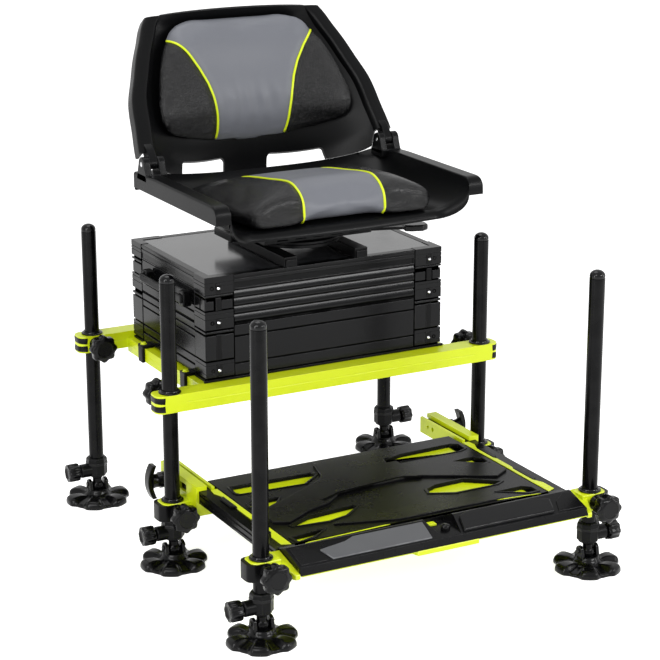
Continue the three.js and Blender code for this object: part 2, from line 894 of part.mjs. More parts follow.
// Columns of the skin from the middle of the pan to the flange: x, share of the bowl, height at the arm
const panColumns = [0, panHalfWidth / 2].map((x) => ({ x, t: 0 }));
const bowlColumns = bowlShares.map((t) => ({ x: panHalfWidth + (armInner - panHalfWidth) * t, t }));
const armColumns = [
  { x: armInner, t: 1, z: armInnerTop },
  { x: armInner + armCorner, t: 1, z: armTop },
  { x: armOuter - armCorner, t: 1, z: armTop },
  { x: armOuter, t: 1, z: armTop - armCorner },
  { x: armOuter, t: 1, z: armFlange },
];
const halfColumns = [...panColumns, ...bowlColumns, ...armColumns];
const columns = [...halfColumns.slice(1).reverse().map((c) => ({ ...c, x: -c.x })), ...halfColumns];

// Rows of the skin from the rear: share of the depth, then how far the front edge has turned down
const lipShares = [[0.93, 0], [0.965, 0.35], [0.992, 0.75], [1, 1], [1.002, 2]];
const rowShares = [...panShares.map(([s]) => [s, 0]).slice(0, -1), ...lipShares];

function panPoint({ x, t, z }, [share, drop]) {
  const lip = panLipY + lipBow * (Math.abs(x) / panHalfWidth) ** 2 * (t > 0 ? 1 - t : 1);
  const front = lip + (armFrontY - lip) * t * t;
  const y = panRearY + (front - panRearY) * share;
  const rearShare = Math.max(0, 1 - share / panShares[3][0]);
  const floor = panFloorAt(y) + panCornerLift * rearShare * Math.min(1, Math.abs(x) / armInner) ** 3;
  const rim = (z === undefined ? armInnerTop : z) - armRearDrop * rearShare;
  const top = z === undefined ? floor + (rim - floor) * bowl(t) : rim;
  const faceTop = panFloor - panLipDrop + (armFaceTop - panFloor + panLipDrop) * bowl(t);
  const faceBottom = panLipBottom + (armFaceBottom - panLipBottom) * bowl(t);
  if (drop > 1) return new THREE.Vector3(x, y, faceBottom);
  const low = Math.min(top, faceTop + (top - faceTop) * (1 - drop * drop));
  return new THREE.Vector3(x, y, Math.max(low, faceBottom + shellSkin * t));
}

const panTop = rowShares.map((row) => columns.map((column) => panPoint(column, row)));
const panSkin = skin(panTop, offset(panTop, shellSkin));

// Two ears a side stand on the rear of each arm and hold the hinge pin
const earOuterX = armOuter;
const tongueOuterX = earOuterX - earOuterThickness - slip;
const tongueInnerX = tongueOuterX - tongueThickness;
const earInnerX = tongueInnerX - slip - earInnerThickness;
const earBase = armTop - armRearDrop - shellSkin;
const earOutline = [
  [hingeY - earFoot, earBase],
  [hingeY + earFoot, earBase],
  ...Array.from({ length: earSteps + 1 }, (_, k) => {
    const t = (Math.PI * k) / earSteps;
    return [hingeY + earRadius * Math.cos(t), hingeZ + earRadius * Math.sin(t)];
  }),
];
const ears = SIDES.flatMap(([, side]) => {
  const pinEnds = [side * (earInnerX + overrun), side * (earOuterX - overrun)];
  return [
    prism("x", earOutline, side * earOuterX, side * (earOuterX - earOuterThickness)),
    prism("x", earOutline, side * (tongueInnerX - slip), side * earInnerX),
    block(
      [side * earInnerX, side * earOuterX],
      [hingeY - earFoot, hingeY + earFoot],
      [earBase - shellSkin, armTop],
    ),
    rod("x", hingePinRadius, ...pinEnds, [hingeY, hingeZ], smallSides),
  ];
});
piece("seat_shell", join([panSkin, ...ears]), PLASTIC, seatBox);

// Seat cushion: a crowned pad with drawn-in sides and two piping channels

// Half width and top height of the pad as shares, at shares of its depth from the front
const seatWidthShares = [
  [0, 0.88], [0.025, 0.93], [0.06, 0.955], [0.12, 0.97], [0.25, 0.985],
  [0.45, 1], [0.75, 0.99], [0.9, 0.96], [0.97, 0.93], [1, 0.88],
];
const seatTopShares = [
  [0, 0.5], [0.025, 0.82], [0.06, 0.95], [0.12, 1], [0.25, 0.93],
  [0.45, 0.7], [0.75, 0.35], [0.9, 0.08], [0.97, -0.1], [1, -0.25],
];
const seatRowShares = [0, 0.025, 0.06, 0.12, 0.25, 0.38, 0.5, 0.64, 0.76, 0.87, 0.95, 1];

// One section of a pad, from the middle of its underside round to the middle of its top
const padShares = [
  [0.3, 0, 0],
  [0.6, 0, 0],
  [0.86, 0, 0],
  [0.97, 0.2, 1],
  [1, 0.45, 1],
  [0.98, 0.68, 1],
  [0.92, 0.85, 1],
  [0.8, 0.94, 1],
  [0.62, 0.98, 1],
];

// Points of a half section across x: share up from the underside to the top
function padSection(halfWidth, channelX) {
  const outer = padShares.map(([s, up]) => [s * halfWidth, up, 0]);
  const inner = [
    [channelX + channelHalfWidth, 0.99, 0],
    [channelX, 0.99, 1],
    [channelX - channelHalfWidth, 0.99, 0],
    [channelX / 2, 1, 0],
  ];
  const halfRing = [...outer, ...inner];
  const mirrored = halfRing.map(([x, up, dip]) => [-x, up, dip]).reverse();
  return [[0, 0, 0], ...halfRing, [0, 1, 0], ...mirrored];
}

const seatDepth = cushionRearY - cushionFrontY;
const seatRings = seatRowShares.map((share) => {
  const y = cushionFrontY + seatDepth * share;
  const halfWidth = cushionHalfWidth * between(seatWidthShares, share);
  const under = panFloorAt(y) + padGap + (share === 0 ? (cushionCrest - panFloor) * noseShare : 0);
  const top = cushionRearTop + (cushionCrest - cushionRearTop) * between(seatTopShares, share);
  return padSection(halfWidth, seatPiping).map(
    ([x, up, dip]) => new THREE.Vector3(x, y, under + (top - under) * up - channelDepth * dip),
  );
});
piece("seat_cushion", lofted(seatRings), VINYL, seatBox);

// Back shell: a band round three sides and a dished skin inside it, drawn upright about the hinge

const backGroup = new THREE.Group();
backGroup.position.set(0, hingeY, hingeZ);
backGroup.rotation.x = THREE.MathUtils.degToRad(-hingeLean);
seatBox.add(backGroup);

// Half width of the back and depth of its dish as shares, at shares of its height
const backWidthShares = [
  [0, 1], [0.08, 1], [0.25, 0.979], [0.47, 0.945], [0.617, 0.886],
  [0.752, 0.831], [0.868, 0.772], [0.955, 0.73], [1, 0.7],
];
const dishShares = [
  [0.015, 1], [0.08, 0.9], [0.155, 0.75], [0.25, 0.6], [0.36, 0.52], [0.47, 0.45],
  [0.617, 0.38], [0.752, 0.31], [0.868, 0.26], [1, 0.17],
];
const backArch = 10;
const backRowShares = [0.015, 0.08, 0.155, 0.25, 0.36, 0.47, 0.617, 0.752, 0.868, 0.95, 1];
const dishColumnShares = [0, 0.2, 0.42, 0.64, 0.84, 0.95];

const backHalfAt = (share) => backHalfWidth * between(backWidthShares, share);
const innerAt = (share) => backHalfAt(share) - backBandWidth;

// The top edge is arched, and near it the dish comes forward to the band
const rimShares = [[0.868, 0], [0.95, 0.24], [1, 1]];
const archAt = (x) => backArch * (1 - (x / backHalfWidth) ** 2);
const rowAt = (x, height) => height / (backHeight - backArch + archAt(x));
const rimAt = (row) => between(rimShares, row);

// How far forward of the hinge plane the dished skin lies
function dishAt(x, row) {
  const across = Math.min(1, Math.abs(x) / innerAt(row));
  const level = -(backStep + backDish * between(dishShares, row) * (1 - across * across));
  return level + (backBandFace - level) * rimAt(row);
}

// Columns of the back: share of the dish or distance out from its edge, and the face height
const backColumns = [
  ...dishColumnShares.map((s) => ({ s })),
  { out: 0, n: -backStep },
  { out: backStep / 2, n: backBandFace },
  { out: backBandWidth - backBandFace, n: backBandFace },
  { out: backBandWidth, n: 0 },
  { out: backBandWidth, n: -backFlange },
];
const backLeft = backColumns.slice(1).reverse().map((c) => ({ ...c, side: -1 }));
const backAll = [...backLeft, ...backColumns.map((c) => ({ ...c, side: 1 }))];

function backPoint({ s, out, n, side }, share) {
  const banded = s === undefined;
  const start = backBandStart / backHeight;
  const first = backRowShares[0];
  const row = banded ? start + ((share - first) * (1 - start)) / (1 - first) : share;
  const x = banded ? innerAt(row) + out : innerAt(row) * s;
  const foot = row === first && s > dishColumnShares[3] && s < 1 ? backFootDrop : 0;
  const height = (backHeight - backArch + archAt(x)) * row - foot;
  const stepped = out === 0 ? n + (backBandFace - n) * rimAt(row) : n;
  return new THREE.Vector3(side * x, -(banded ? stepped : dishAt(x, row)), height);
}

const backFront = backRowShares.map((share) => backAll.map((column) => backPoint(column, share)));
const backSkinBody = skin(backFront, offset(backFront, -backSkin));

// The tongues run from the bands down round the hinge pins
const tongueTop = backBandStart + backStep;
const tongueRadius = earRadius * tongueShare;
const tongueOutline = [
  ...Array.from({ length: earSteps + 1 }, (_, k) => {
    const t = Math.PI + (Math.PI * k) / earSteps;
    return [tongueRadius * Math.cos(t), tongueRadius * Math.sin(t)];
  }),
  [tongueRadius, tongueTop],
  [-backBandFace, tongueTop],
  [-tongueRadius, tongueTop - backStep],
];
const tongues = SIDES.map(([, side]) => {
  const ends = [side * (tongueInnerX - overrun), side * (tongueOuterX + overrun)];
  const pinBore = rod("x", hingePinRadius + slip, ...ends, [0, 0], smallSides);
  return prism("x", tongueOutline, side * tongueInnerX, side * tongueOuterX).subtract(pinBore);
});
// Two hand notches in its lower edge leave a tab in the middle
const notchReach = backDish + backStep + backSkin + overrun;
const notchFoot = -backFootDrop - backSkin;
const handNotches = SIDES.map(([, side]) => {
  const outline = [
    [notchFoot, side * notchInner],
    [notchInnerTop - notchCorner, side * notchInner],
    [notchInnerTop, side * (notchInner + notchCorner)],
    [notchOuterTop, side * (notchOuter - notchCorner)],
    [notchOuterTop - notchCorner, side * notchOuter],
    [notchFoot, side * (notchOuter + notchCorner)],
  ];
  return prism("y", outline, 0, notchReach);
});
piece("back_shell", cut(join([backSkinBody, ...tongues]), handNotches), PLASTIC, backGroup);

// Back cushion: it follows the dish, with its sides drawn in towards the shell

const cushionWidthShares = [
  [0, 0.88], [0.04, 0.965], [0.1, 0.995], [0.2, 1], [0.35, 0.97], [0.5, 0.925],
  [0.66, 0.86], [0.8, 0.775], [0.92, 0.67], [0.97, 0.56], [1, 0.42],
];
const cushionSwellShares = [
  [0, 0.35], [0.04, 0.7], [0.1, 0.9], [0.21, 1], [0.5, 1],
  [0.82, 0.95], [0.92, 0.8], [0.97, 0.62], [1, 0.35],
];
const cushionRowShares = [0, 0.04, 0.1, 0.2, 0.35, 0.5, 0.66, 0.8, 0.92, 0.97, 1];
// The piping runs in from near the top corners to near the middle of the lower edge
const backPipingShares = [[0, 0.37], [0.3, 0.4], [0.6, 0.5], [0.8, 0.68], [0.92, 0.72], [1, 0.6]];

const backCushionDepth = backCushionTop - backCushionBottom;
const backRings = cushionRowShares.map((share) => {
  const height = backCushionBottom + backCushionDepth * share;
  const halfWidth = backCushionHalfWidth * between(cushionWidthShares, share);
  const swell = backCushionThickness * between(cushionSwellShares, share);
  const channelX = halfWidth * between(backPipingShares, share);
  return padSection(halfWidth, channelX).map(([x, up, dip]) => {
    const seat = dishAt(x, rowAt(x, height)) + dishGap;
    const lift = up === 0 && (share === 0 || share === 1) ? swell * edgeLiftShare : 0;
    return new THREE.Vector3(x, -(seat + lift + (swell - lift) * up - channelDepth * dip), height);
  });
});
piece("back_cushion", lofted(backRings), VINYL, backGroup);

// Footplate brackets: a slide channel each, with a clamp for the middle leg

for (const [word, side] of SIDES) {
  const clampTop = bracketBottom + railHeight;
  const outline = barOutline(bracketOuter - overrun, legSpan + railOverhang, half, railCorner, false, true);
  const sided = outline.map(([a, b]) => [side * a, b]);
  const clampMiddle = (bracketBottom + clampTop) / 2;
  const windowBottom = clampTop + collarHeight + slideWall;
  const holeZ = (slideBottom + slideTop) / 2;
  const holeY = bracketRearY - bracketHoleInset;
  const throughOuter = [side * slideOuter, side * (bracketOuter + overrun)];
  const channelBody = block(
    [side * bracketInner, side * bracketOuter],
    [bracketFrontY, bracketRearY],
    [channelBottom, bracketTop],
  );
  const clampBody = prism("z", sided, bracketBottom, clampTop);
  const body = cut(join([channelBody, clampBody, collar(side * legSpan, 0, clampTop)]), [
    block(
      [side * (slideInner - slip), side * (slideOuter + slip)],
      [bracketFrontY - overrun, bracketRearY + overrun],
      [slideBottom - slip, slideTop + slip],
    ),
    clampBore(side * legSpan, 0, bracketBottom - overrun, clampTop + collarHeight + overrun),
    screwHole(side * legSpan, 0, clampMiddle, -1),
    rod("x", screwRadius + slip, ...throughOuter, [teeY, teeZ], smallSides),
    rod("x", bracketHoleRadius, ...throughOuter, [holeY, holeZ], smallSides),
    block(
      throughOuter,
      [bracketWindowY - bracketWindowWidth / 2, bracketWindowY + bracketWindowWidth / 2],
      [windowBottom, windowBottom + bracketWindowHeight],
    ),
  ]);
  piece("bracket_" + word, body, LIME, seatBox);
  clampKnob("bracket_knob_" + word, side * legSpan, 0, clampMiddle, -1);

  // The locking knob is a crescent on a hub, with its tips towards the bracket
  const arcs = Array.from({ length: teeSteps + 1 }, (_, k) => (2 * k) / teeSteps - 1);
  const thickness = (t) => teeThickness * (1 - t * t * teeTaperShare);
  const face = arcs.map((t) => [teeHalfHeight * t, thickness(t) - teeBend * t * t]);
  const rear = arcs.map((t) => [teeHalfHeight * t, -teeBend * t * t]).reverse();
  const crescent = [...face, ...rear].map(([z, x]) => [teeZ + z, side * (teeCentre - teeThickness + x)]);
  const hubStart = bracketOuter + teeHubStand;
  const hubEnd = teeCentre - teeThickness / 2;
  const tee = join([
    prism("y", crescent, teeY - teeWidth / 2, teeY + teeWidth / 2),
    rod("x", teeHubRadius, side * hubStart, side * hubEnd, [teeY, teeZ], smallSides),
    rod("x", screwRadius, side * (slideOuter + slip), side * hubEnd, [teeY, teeZ], smallSides),
  ]);
  piece("t_knob_" + word, tee, KNOB, seatBox);
}

// Slide rails: hollow bars with a groove down the outer face
for (const [word, side] of SIDES) {
  const length = [slideFrontY, slideRearY];
  const middle = (slideBottom + slideTop) / 2;
  const body = cut(block([side * slideInner, side * slideOuter], length, [slideBottom, slideTop]), [
    block(
      [side * (slideInner + slideWall), side * (slideOuter - 2 * slideWall)],
      [slideFrontY + slideWall, slideRearY + overrun],
      [slideBottom + slideWall, slideTop - slideWall],
    ),
    block(
      [side * (slideOuter - slideWall / 2), side * (slideOuter + overrun)],
      [slideFrontY - overrun, slideRearY + overrun],
      [middle - slideGroove, middle],
    ),
  ]);
  piece("slide_rail_" + word, body, ANODISED, seatBox);
}

// Footplate frame: a front beam with a clamp at each end, side members and a thin plate
const beamReach = frontClampInner + overrun;
const frontClampBottom = frontClampTop - railHeight;
const plateLength = [beamRearY - overrun, rearMemberY];
const acrossMembers = [-sideMemberOuter, sideMemberOuter];
const frameSolids = [
  block([-beamReach, beamReach], [beamFrontY, beamRearY], [frontClampBottom, beamTop]),
  block(acrossMembers, [rearMemberY - rearMemberDepth, rearMemberY], [sideMemberBottom, plateTop]),
  block(acrossMembers, plateLength, [plateTop - plateThickness, plateTop]),
];
const frameTools = [];
for (const [, side] of SIDES) {
  const outline = barOutline(frontClampInner, frontLegSpan + railOverhang, half, railCorner, false, true);
  const sided = outline.map(([a, b]) => [side * a, b + frontLegY]);
  const clampMiddle = frontClampTop - railHeight / 2;
  const boreTop = frontClampTop + collarHeight + overrun;
  const legX = side * frontLegSpan;
  frameSolids.push(
    prism("z", sided, frontClampBottom, frontClampTop),
    collar(legX, frontLegY, frontClampTop),
    block([side * sideMemberInner, side * sideMemberOuter], plateLength, [sideMemberBottom, plateTop]),
  );
  frameTools.push(
    clampBore(legX, frontLegY, frontClampBottom - overrun, boreTop),
    screwHole(legX, frontLegY, clampMiddle, -1),
  );
}
piece("footplate_frame", cut(join(frameSolids), frameTools), LIME, seatBox);
const frontClampMiddle = frontClampTop - railHeight / 2;
for (const [word, side] of SIDES) {
  clampKnob("clamp_knob_front_" + word, side * frontLegSpan, frontLegY, frontClampMiddle, -1);
}

// Deck: a mat with slots and raised bars, rising to a lip over the front beam

const deckBottom = plateTop + slip;
const deckDepth = rearMemberY - deckFrontY;
// Slots as shares: x from and to of the half width, y from and to of the depth from the rear
const slotShares = [
  [0.28, 0.94, 0.14, 0.27],
  [0.7, 0.95, 0.375, 0.48],
  [0.29, 0.9, 0.645, 0.79],
  [0.69, 0.95, 0.88, 0.965],
];
const slotSkewShare = 0.06;
const deckSlots = SIDES.flatMap(([, side]) =>
  slotShares.map(([x0, x1, y0, y1]) => {
    const skew = deckHalfWidth * slotSkewShare;
    const rear = rearMemberY - deckDepth * y0;
    const front = rearMemberY - deckDepth * y1;
    const outline = [
      [x0 * deckHalfWidth, front + skew / 2],
      [x0 * deckHalfWidth + skew, front],
      [x1 * deckHalfWidth, front],
      [x1 * deckHalfWidth, rear - skew / 2],
      [x1 * deckHalfWidth - skew, rear],
      [x0 * deckHalfWidth, rear - skew / 2],
    ];
    const sided = outline.map(([x, y]) => [side * x, y]);
    return prism("z", sided, deckBottom - overrun, deckTop + barHeight + overrun);
  }),
);

// Two crossed bars stand up from the deck between the slots
const crossPlaceShare = 0.5;
const crossReachShare = 0.86;
const crossDropShare = 0.17;
const crossY = rearMemberY - deckDepth * crossPlaceShare;
const crossReach = deckHalfWidth * crossReachShare;
const crossDrop = deckDepth * crossDropShare;
const crossBars = SIDES.map(([, side]) => {
  const outline = [
    [-crossReach, side * crossDrop - barHalfWidth],
    [crossReach, -side * crossDrop - barHalfWidth],
    [crossReach, -side * crossDrop + barHalfWidth],
    [-crossReach, side * crossDrop + barHalfWidth],
  ];
  const placed = outline.map(([x, y]) => [x, y + crossY]);
  return prism("z", placed, deckTop - overrun, deckTop + barHeight);
});
const lipUnder = beamTop + slip;
const lipOutline = [
  [beamRearY - overrun - slip, deckBottom],
  [deckFrontY + overrun, deckBottom],
  [deckFrontY + overrun, deckTop],
  [lipStartY, deckTop],
  [lipRidgeY + lipSkin, lipRidge],
  [lipRidgeY, lipRidge],
  [lipNoseY, lipNose],
  [lipToeY, lipToe],
  [lipToeY + lipSkin, lipToe],
  [lipNoseY + lipSkin, lipUnder],
  [beamRearY - overrun - slip, lipUnder],
];
const lipTop = prism("x", lipOutline, -lipHalfWidth, lipHalfWidth);
const lipRoom = SIDES.map(([, side]) =>
  block(
    [side * (slideInner - slip), side * (lipHalfWidth + overrun)],
    [beamRearY, deckFrontY + 2 * overrun],
    [lipToe, slideTop + slip],
  ),
);
const notch = prism(
  "z",
  [
    [-notchHalfWidth, lipRidgeY + 2 * lipSkin],
    [-notchHalfWidth / 2, lipToeY - overrun],
    [notchHalfWidth / 2, lipToeY - overrun],
    [notchHalfWidth, lipRidgeY + 2 * lipSkin],
  ],
  notchFloor,
  lipRidge + overrun,
);
const deckPlate = block(
  [-deckHalfWidth, deckHalfWidth],
  [deckFrontY, rearMemberY],
  [deckBottom, deckTop],
);
const mat = cut(join([deckPlate, ...crossBars]), deckSlots);
const deckBody = mat.add(cut(lipTop, [...lipRoom, notch]));
piece("footplate_deck", deckBody, RUBBER, seatBox);

// The origin is on the floor, under the middle of the whole
const bounds = new THREE.Box3().setFromObject(seatBox, true);
const centre = bounds.getCenter(new THREE.Vector3());
seatBox.position.set(-centre.x, -centre.y, -bounds.min.z);

export default seatBox;
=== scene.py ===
"""Fishing seat box: the moulded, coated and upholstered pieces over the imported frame."""

import math

import bmesh
import bpy
import numpy as np
from mathutils import Matrix, Vector


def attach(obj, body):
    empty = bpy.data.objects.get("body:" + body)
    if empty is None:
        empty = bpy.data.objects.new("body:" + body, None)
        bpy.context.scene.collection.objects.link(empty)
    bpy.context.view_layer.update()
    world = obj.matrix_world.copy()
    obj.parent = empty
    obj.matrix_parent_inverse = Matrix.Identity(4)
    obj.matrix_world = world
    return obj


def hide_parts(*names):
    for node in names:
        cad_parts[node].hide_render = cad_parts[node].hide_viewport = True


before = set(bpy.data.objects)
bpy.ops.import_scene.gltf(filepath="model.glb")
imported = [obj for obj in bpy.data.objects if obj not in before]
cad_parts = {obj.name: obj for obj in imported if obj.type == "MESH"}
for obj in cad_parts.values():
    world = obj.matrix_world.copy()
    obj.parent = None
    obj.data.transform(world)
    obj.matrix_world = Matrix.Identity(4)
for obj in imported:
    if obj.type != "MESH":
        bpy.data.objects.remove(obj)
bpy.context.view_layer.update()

# Sizes are in millimetres, from the floor and from the line through the middle legs.
# The object's own frame has that line a little behind its origin.
MM = 0.001
LEG_LINE = np.array((0, 2.75, 0))
PI = math.pi
SIDES = (("left", -1), ("right", 1))
BOTH = (-1, 1)
LEG_X, REAR_LEG_Y, FRONT_LEG_X, FRONT_LEG_Y = 289, 328, 293, -329.5
# Each row of legs: place across and along, top of the tube, height of its clamp knob and the way that faces
LEG_ROWS = {
    "rear": (LEG_X, REAR_LEG_Y, 498, 290, -1),
    "middle": (LEG_X, 0, 486, 278, 1),
    "front": (FRONT_LEG_X, FRONT_LEG_Y, 497, 118, -1),
}
LEGS = [(f"{row}_{word}", side, *places) for row, places in LEG_ROWS.items() for word, side in SIDES]

# Surfaces: every shape is a pair, an array of points and a list of faces


def grid(points, close_rows=False, close_columns=False):
    """Points of a rows by columns grid and its faces, joined end to end where closed."""
    rows, columns = points.shape[:2]
    i = np.arange(rows if close_rows else rows - 1)[:, None]
    j = np.arange(columns if close_columns else columns - 1)[None, :]
    corner = lambda a, b: (a % rows) * columns + b % columns
    faces = np.stack([corner(i, j), corner(i, j + 1), corner(i + 1, j + 1), corner(i + 1, j)], -1)
    return points.reshape(-1, 3), faces.reshape(-1, 4).tolist()


def facing(shape, direction=(0, 0, 1), at=(0, 0, 0)):
    """A shape drawn about +Z, turned so that +Z faces a direction (its +Y stays up), and moved."""
    d = np.array(direction, float)
    a = np.cross((0, 0, 1), d) if abs(d[2]) < 0.9 else np.array((d[2], 0, 0))
    return shape[0] @ np.array([a, np.cross(d, a), d]) + np.array(at, float), shape[1]


def turned(profile, sides=48, lobes=0, depth=0.0, closed=False):
    """A profile of (radius, height[, lobing]) turned about Z: at angle t the radius is
    r (1 - depth lobing (1 - cos(lobes t)) / 2). A closed profile makes a ring."""
    p = np.array([(*row, 1.0)[:3] for row in profile], float)
    t = np.linspace(0, 2 * PI, sides, endpoint=False)
    r = p[:, 0:1] * (1 - depth * p[:, 2:3] * (1 - np.cos(lobes * t)) / 2)
    z = np.broadcast_to(p[:, 1:2], r.shape)
    return grid(np.stack([r * np.cos(t), r * np.sin(t), z], -1), closed, True)


def post(radius, low, high, sides=32):
    """A round bar about Z, for bores and pins."""
    return turned([(0, low), (radius, low), (radius, high), (0, high)], sides)


def arc(x, y, radius, start, end, count, height=None):
    """Points (x + radius cos t, y + height sin t); the height is the radius unless it is given."""
    t = np.linspace(start, end, count)
    return np.column_stack([x + radius * np.cos(t), y + (height or radius) * np.sin(t)]).tolist()


def prism(outline, low, high, axis="z"):
    """An outline of (a, b) points raised from low to high: along z it is (x, y), x (y, z), y (x, z)."""
    o = np.array(outline, float)
    n = len(o)
    place = {"z": (0, 1, 2), "x": (2, 0, 1), "y": (0, 2, 1)}[axis]
    flat = np.concatenate([np.column_stack([o, np.full(n, level)]) for level in (low, high)])
    return flat[:, place], prism_faces(n)


def prism_faces(n):
    k = np.arange(n)
    sides = np.stack([k, (k + 1) % n, (k + 1) % n + n, k + n], -1).tolist()
    return sides + [k[::-1].tolist(), (k + n).tolist()]


def flip(outline, s):
    """An outline of (x, y) points drawn on the right, taken to side s."""
    return np.array(outline, float) * (s, 1)


def slab(x, y, z, s=1):
    """A block between two limits on each axis, drawn on the right and taken to side s."""
    (x0, x1), (y0, y1), (z0, z1) = sorted((s * x[0], s * x[1])), y, z
    return prism([(x0, y0), (x1, y0), (x1, y1), (x0, y1)], z0, z1)


def slabs(x, y, z):
    return [slab(x, y, z, s) for s in BOTH]


def tube(path, radius, sides=12):
    """A circle carried along a path, square to it, with both ends closed to a point."""
    p = np.array(path, float)
    along = np.gradient(p, axis=0)
    along /= np.linalg.norm(along, axis=1)[:, None]
    side = np.cross(along, (0, 0, 1) if abs(along[:, 2]).max() < 0.95 else (1, 0.2, 0))
    side /= np.linalg.norm(side, axis=1)[:, None]
    up = np.cross(side, along)
    t = np.linspace(0, 2 * PI, sides, endpoint=False)[:, None]
    body = p[:, None] + radius * (side[:, None] * np.cos(t) + up[:, None] * np.sin(t))
    first, last = (np.repeat(p[k][None, None], sides, 1) for k in (0, -1))
    return grid(np.concatenate([first, body, last]), close_columns=True)


def moved(shape, by):
    return shape[0] + np.array(by, float), shape[1]


def joined(shapes):
    """Several shapes as one."""
    points, faces, start = [], [], 0
    for p, f in shapes:
        points.append(p)
        faces += [[k + start for k in face] for face in f]
        start += len(p)
    return np.concatenate(points), faces


def mirrored_grid(half):
    """Half a surface, its columns running from the middle out to the right, with its mirror image."""
    return np.concatenate([(half * (-1, 1, 1))[:, :0:-1], half], 1)


def thick_sheet(front, distance):
    """A grid and its copy moved along its own normals, the cross product of its two tangents."""
    normal = np.cross(np.gradient(front, axis=1), np.gradient(front, axis=0))
    length = np.linalg.norm(normal, axis=2, keepdims=True)
    return sheet_solid(front, front + distance * normal / np.maximum(length, 1e-9))


def sheet_solid(front, back):
    """The skin between two grids, closed round its rim: the perimeter of one is joined to the other's."""
    rows, columns = front.shape[:2]
    n = rows * columns
    points, faces = grid(front)
    index = np.arange(n).reshape(rows, columns)
    rim = np.concatenate([index[0, :-1], index[:-1, -1], index[-1, :0:-1], index[:0:-1, 0]])
    after = np.roll(rim, -1)
    rims = np.stack([after, rim, rim + n, after + n], -1).tolist()
    return np.concatenate([points, back.reshape(-1, 3)]), faces + [[k + n for k in f[::-1]] for f in faces] + rims


def between(table, at):
    """Straight lines through a table of (share, value) pairs."""
    return np.interp(at, *np.array(table, float).T)


def eased(table, at):
    """A smooth curve through a table of (share, value) pairs: cubic pieces with averaged slopes."""
    x, y = np.array(table, float).T
    slope = np.gradient(y, x)
    at = np.clip(at, x[0], x[-1])
    k = np.clip(np.searchsorted(x, at) - 1, 0, len(x) - 2)
    h = x[k + 1] - x[k]
    u = (at - x[k]) / h
    ends = y[k] * (1 + 2 * u) * (1 - u) ** 2 + y[k + 1] * u * u * (3 - 2 * u)
    return ends + h * u * (1 - u) * (slope[k] * (1 - u) - slope[k + 1] * u)


# Pieces


def new_object(name, shape):
    """An object from a shape, with its double points welded and its faces turned out."""
    mesh = bpy.data.meshes.new(name)
    mesh.from_pydata(((shape[0] + LEG_LINE) * MM).tolist(), [], shape[1])
    bm = bmesh.new()
    bm.from_mesh(mesh)
    bmesh.ops.remove_doubles(bm, verts=bm.verts, dist=2e-6)
    bmesh.ops.dissolve_degenerate(bm, edges=bm.edges, dist=1e-6)
    bmesh.ops.recalc_face_normals(bm, faces=bm.faces)
    bm.to_mesh(mesh)
    bm.free()
    obj = bpy.data.objects.new(name, mesh)
    bpy.context.collection.objects.link(obj)
    return obj


def modify(obj, kind, **settings):
    """Put one modifier on an object and apply it."""
    modifier = obj.modifiers.new(kind.lower(), kind)
    for key, value in settings.items():
        setattr(modifier, key, value)
    mesh = bpy.data.meshes.new_from_object(obj.evaluated_get(bpy.context.evaluated_depsgraph_get()))
    obj.modifiers.clear()
    old, obj.data = obj.data, mesh
    bpy.data.meshes.remove(old)


def read(items, label, width=3, kind=float):
    """One row of values per item of a mesh."""
    flat = np.empty(len(items) * width, kind)
    items.foreach_get(label, flat)
    return flat.reshape(-1, width)


def store(mesh, label, values, domain="POINT"):
    mesh.attributes.new(label, "FLOAT", domain).data.foreach_set("value", values.astype(np.float32).ravel())


def piece(name, shape, look, body, node=None, bevel=0.0, segments=2, sharp=35, cutters=()):
    """One object from one shape: carved, bevelled and shaded smooth up to an angle, riding on a body."""
    obj = new_object(name, shape)
    if cutters:
        tool = new_object("cutter", joined(cutters))
        modify(obj, "BOOLEAN", operation="DIFFERENCE", solver="EXACT", use_self=True, object=tool)
        mesh = tool.data
        bpy.data.objects.remove(tool)
        bpy.data.meshes.remove(mesh)
    if bevel:
        for _ in BOTH:
            obj.data.materials.append(look)
        modify(obj, "BEVEL", material=1, width=bevel * MM, segments=segments, limit_method="ANGLE",
               angle_limit=math.radians(32))
        mark_strips(obj.data)
    else:
        mark_corners(obj.data)
        obj.data.materials.append(look)
    shade(obj.data, sharp)
    if bevel:
        modify(obj, "WEIGHTED_NORMAL", keep_sharp=True)
    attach(obj, body)
    if node:
        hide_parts(node)
    return obj


def mark_strips(mesh):
    """The faces that the bevel made carry 1 as their share of the edge wear and painted highlight, and go back to the
    first material.
    """
    strip = read(mesh.polygons, "material_index", 1, np.int32)
    store(mesh, "wear_and_highlight", strip, "FACE")
    mesh.polygons.foreach_set("material_index", np.zeros_like(strip).ravel())
    mesh.materials.pop(index=1)


def mark_corners(mesh):
    """Each point's share of the edge wear and painted highlight: how far it stands out, the mean of n . (p - q) / |p -
    q| over its neighbours q.
    """
    count = len(mesh.vertices)
    co, normal = read(mesh.vertices, "co"), read(mesh.vertices, "normal")
    edges = read(mesh.edges, "vertices", 2, int)
    a, b = edges.T
    away = co[a] - co[b]
    away /= np.maximum(np.linalg.norm(away, axis=1, keepdims=True), 1e-9)
    out = np.bincount(a, (normal[a] * away).sum(1), count) - np.bincount(b, (normal[b] * away).sum(1), count)
    mean = out / np.maximum(np.bincount(edges.ravel(), minlength=count), 1)
    store(mesh, "wear_and_highlight", np.clip((mean - 0.1) / 0.25, 0, 1))


def shade(mesh, sharp):
    """Smooth shading, with the edges that bend more than an angle kept sharp."""
    bm = bmesh.new()
    bm.from_mesh(mesh)
    for edge in bm.edges:
        edge.smooth = len(edge.link_faces) == 2 and edge.calc_face_angle(0) < math.radians(sharp)
    for face in bm.faces:
        face.smooth = True
    bm.to_mesh(mesh)
    bm.free()


# Shader nodes, written as tables of nodes and lines of joins


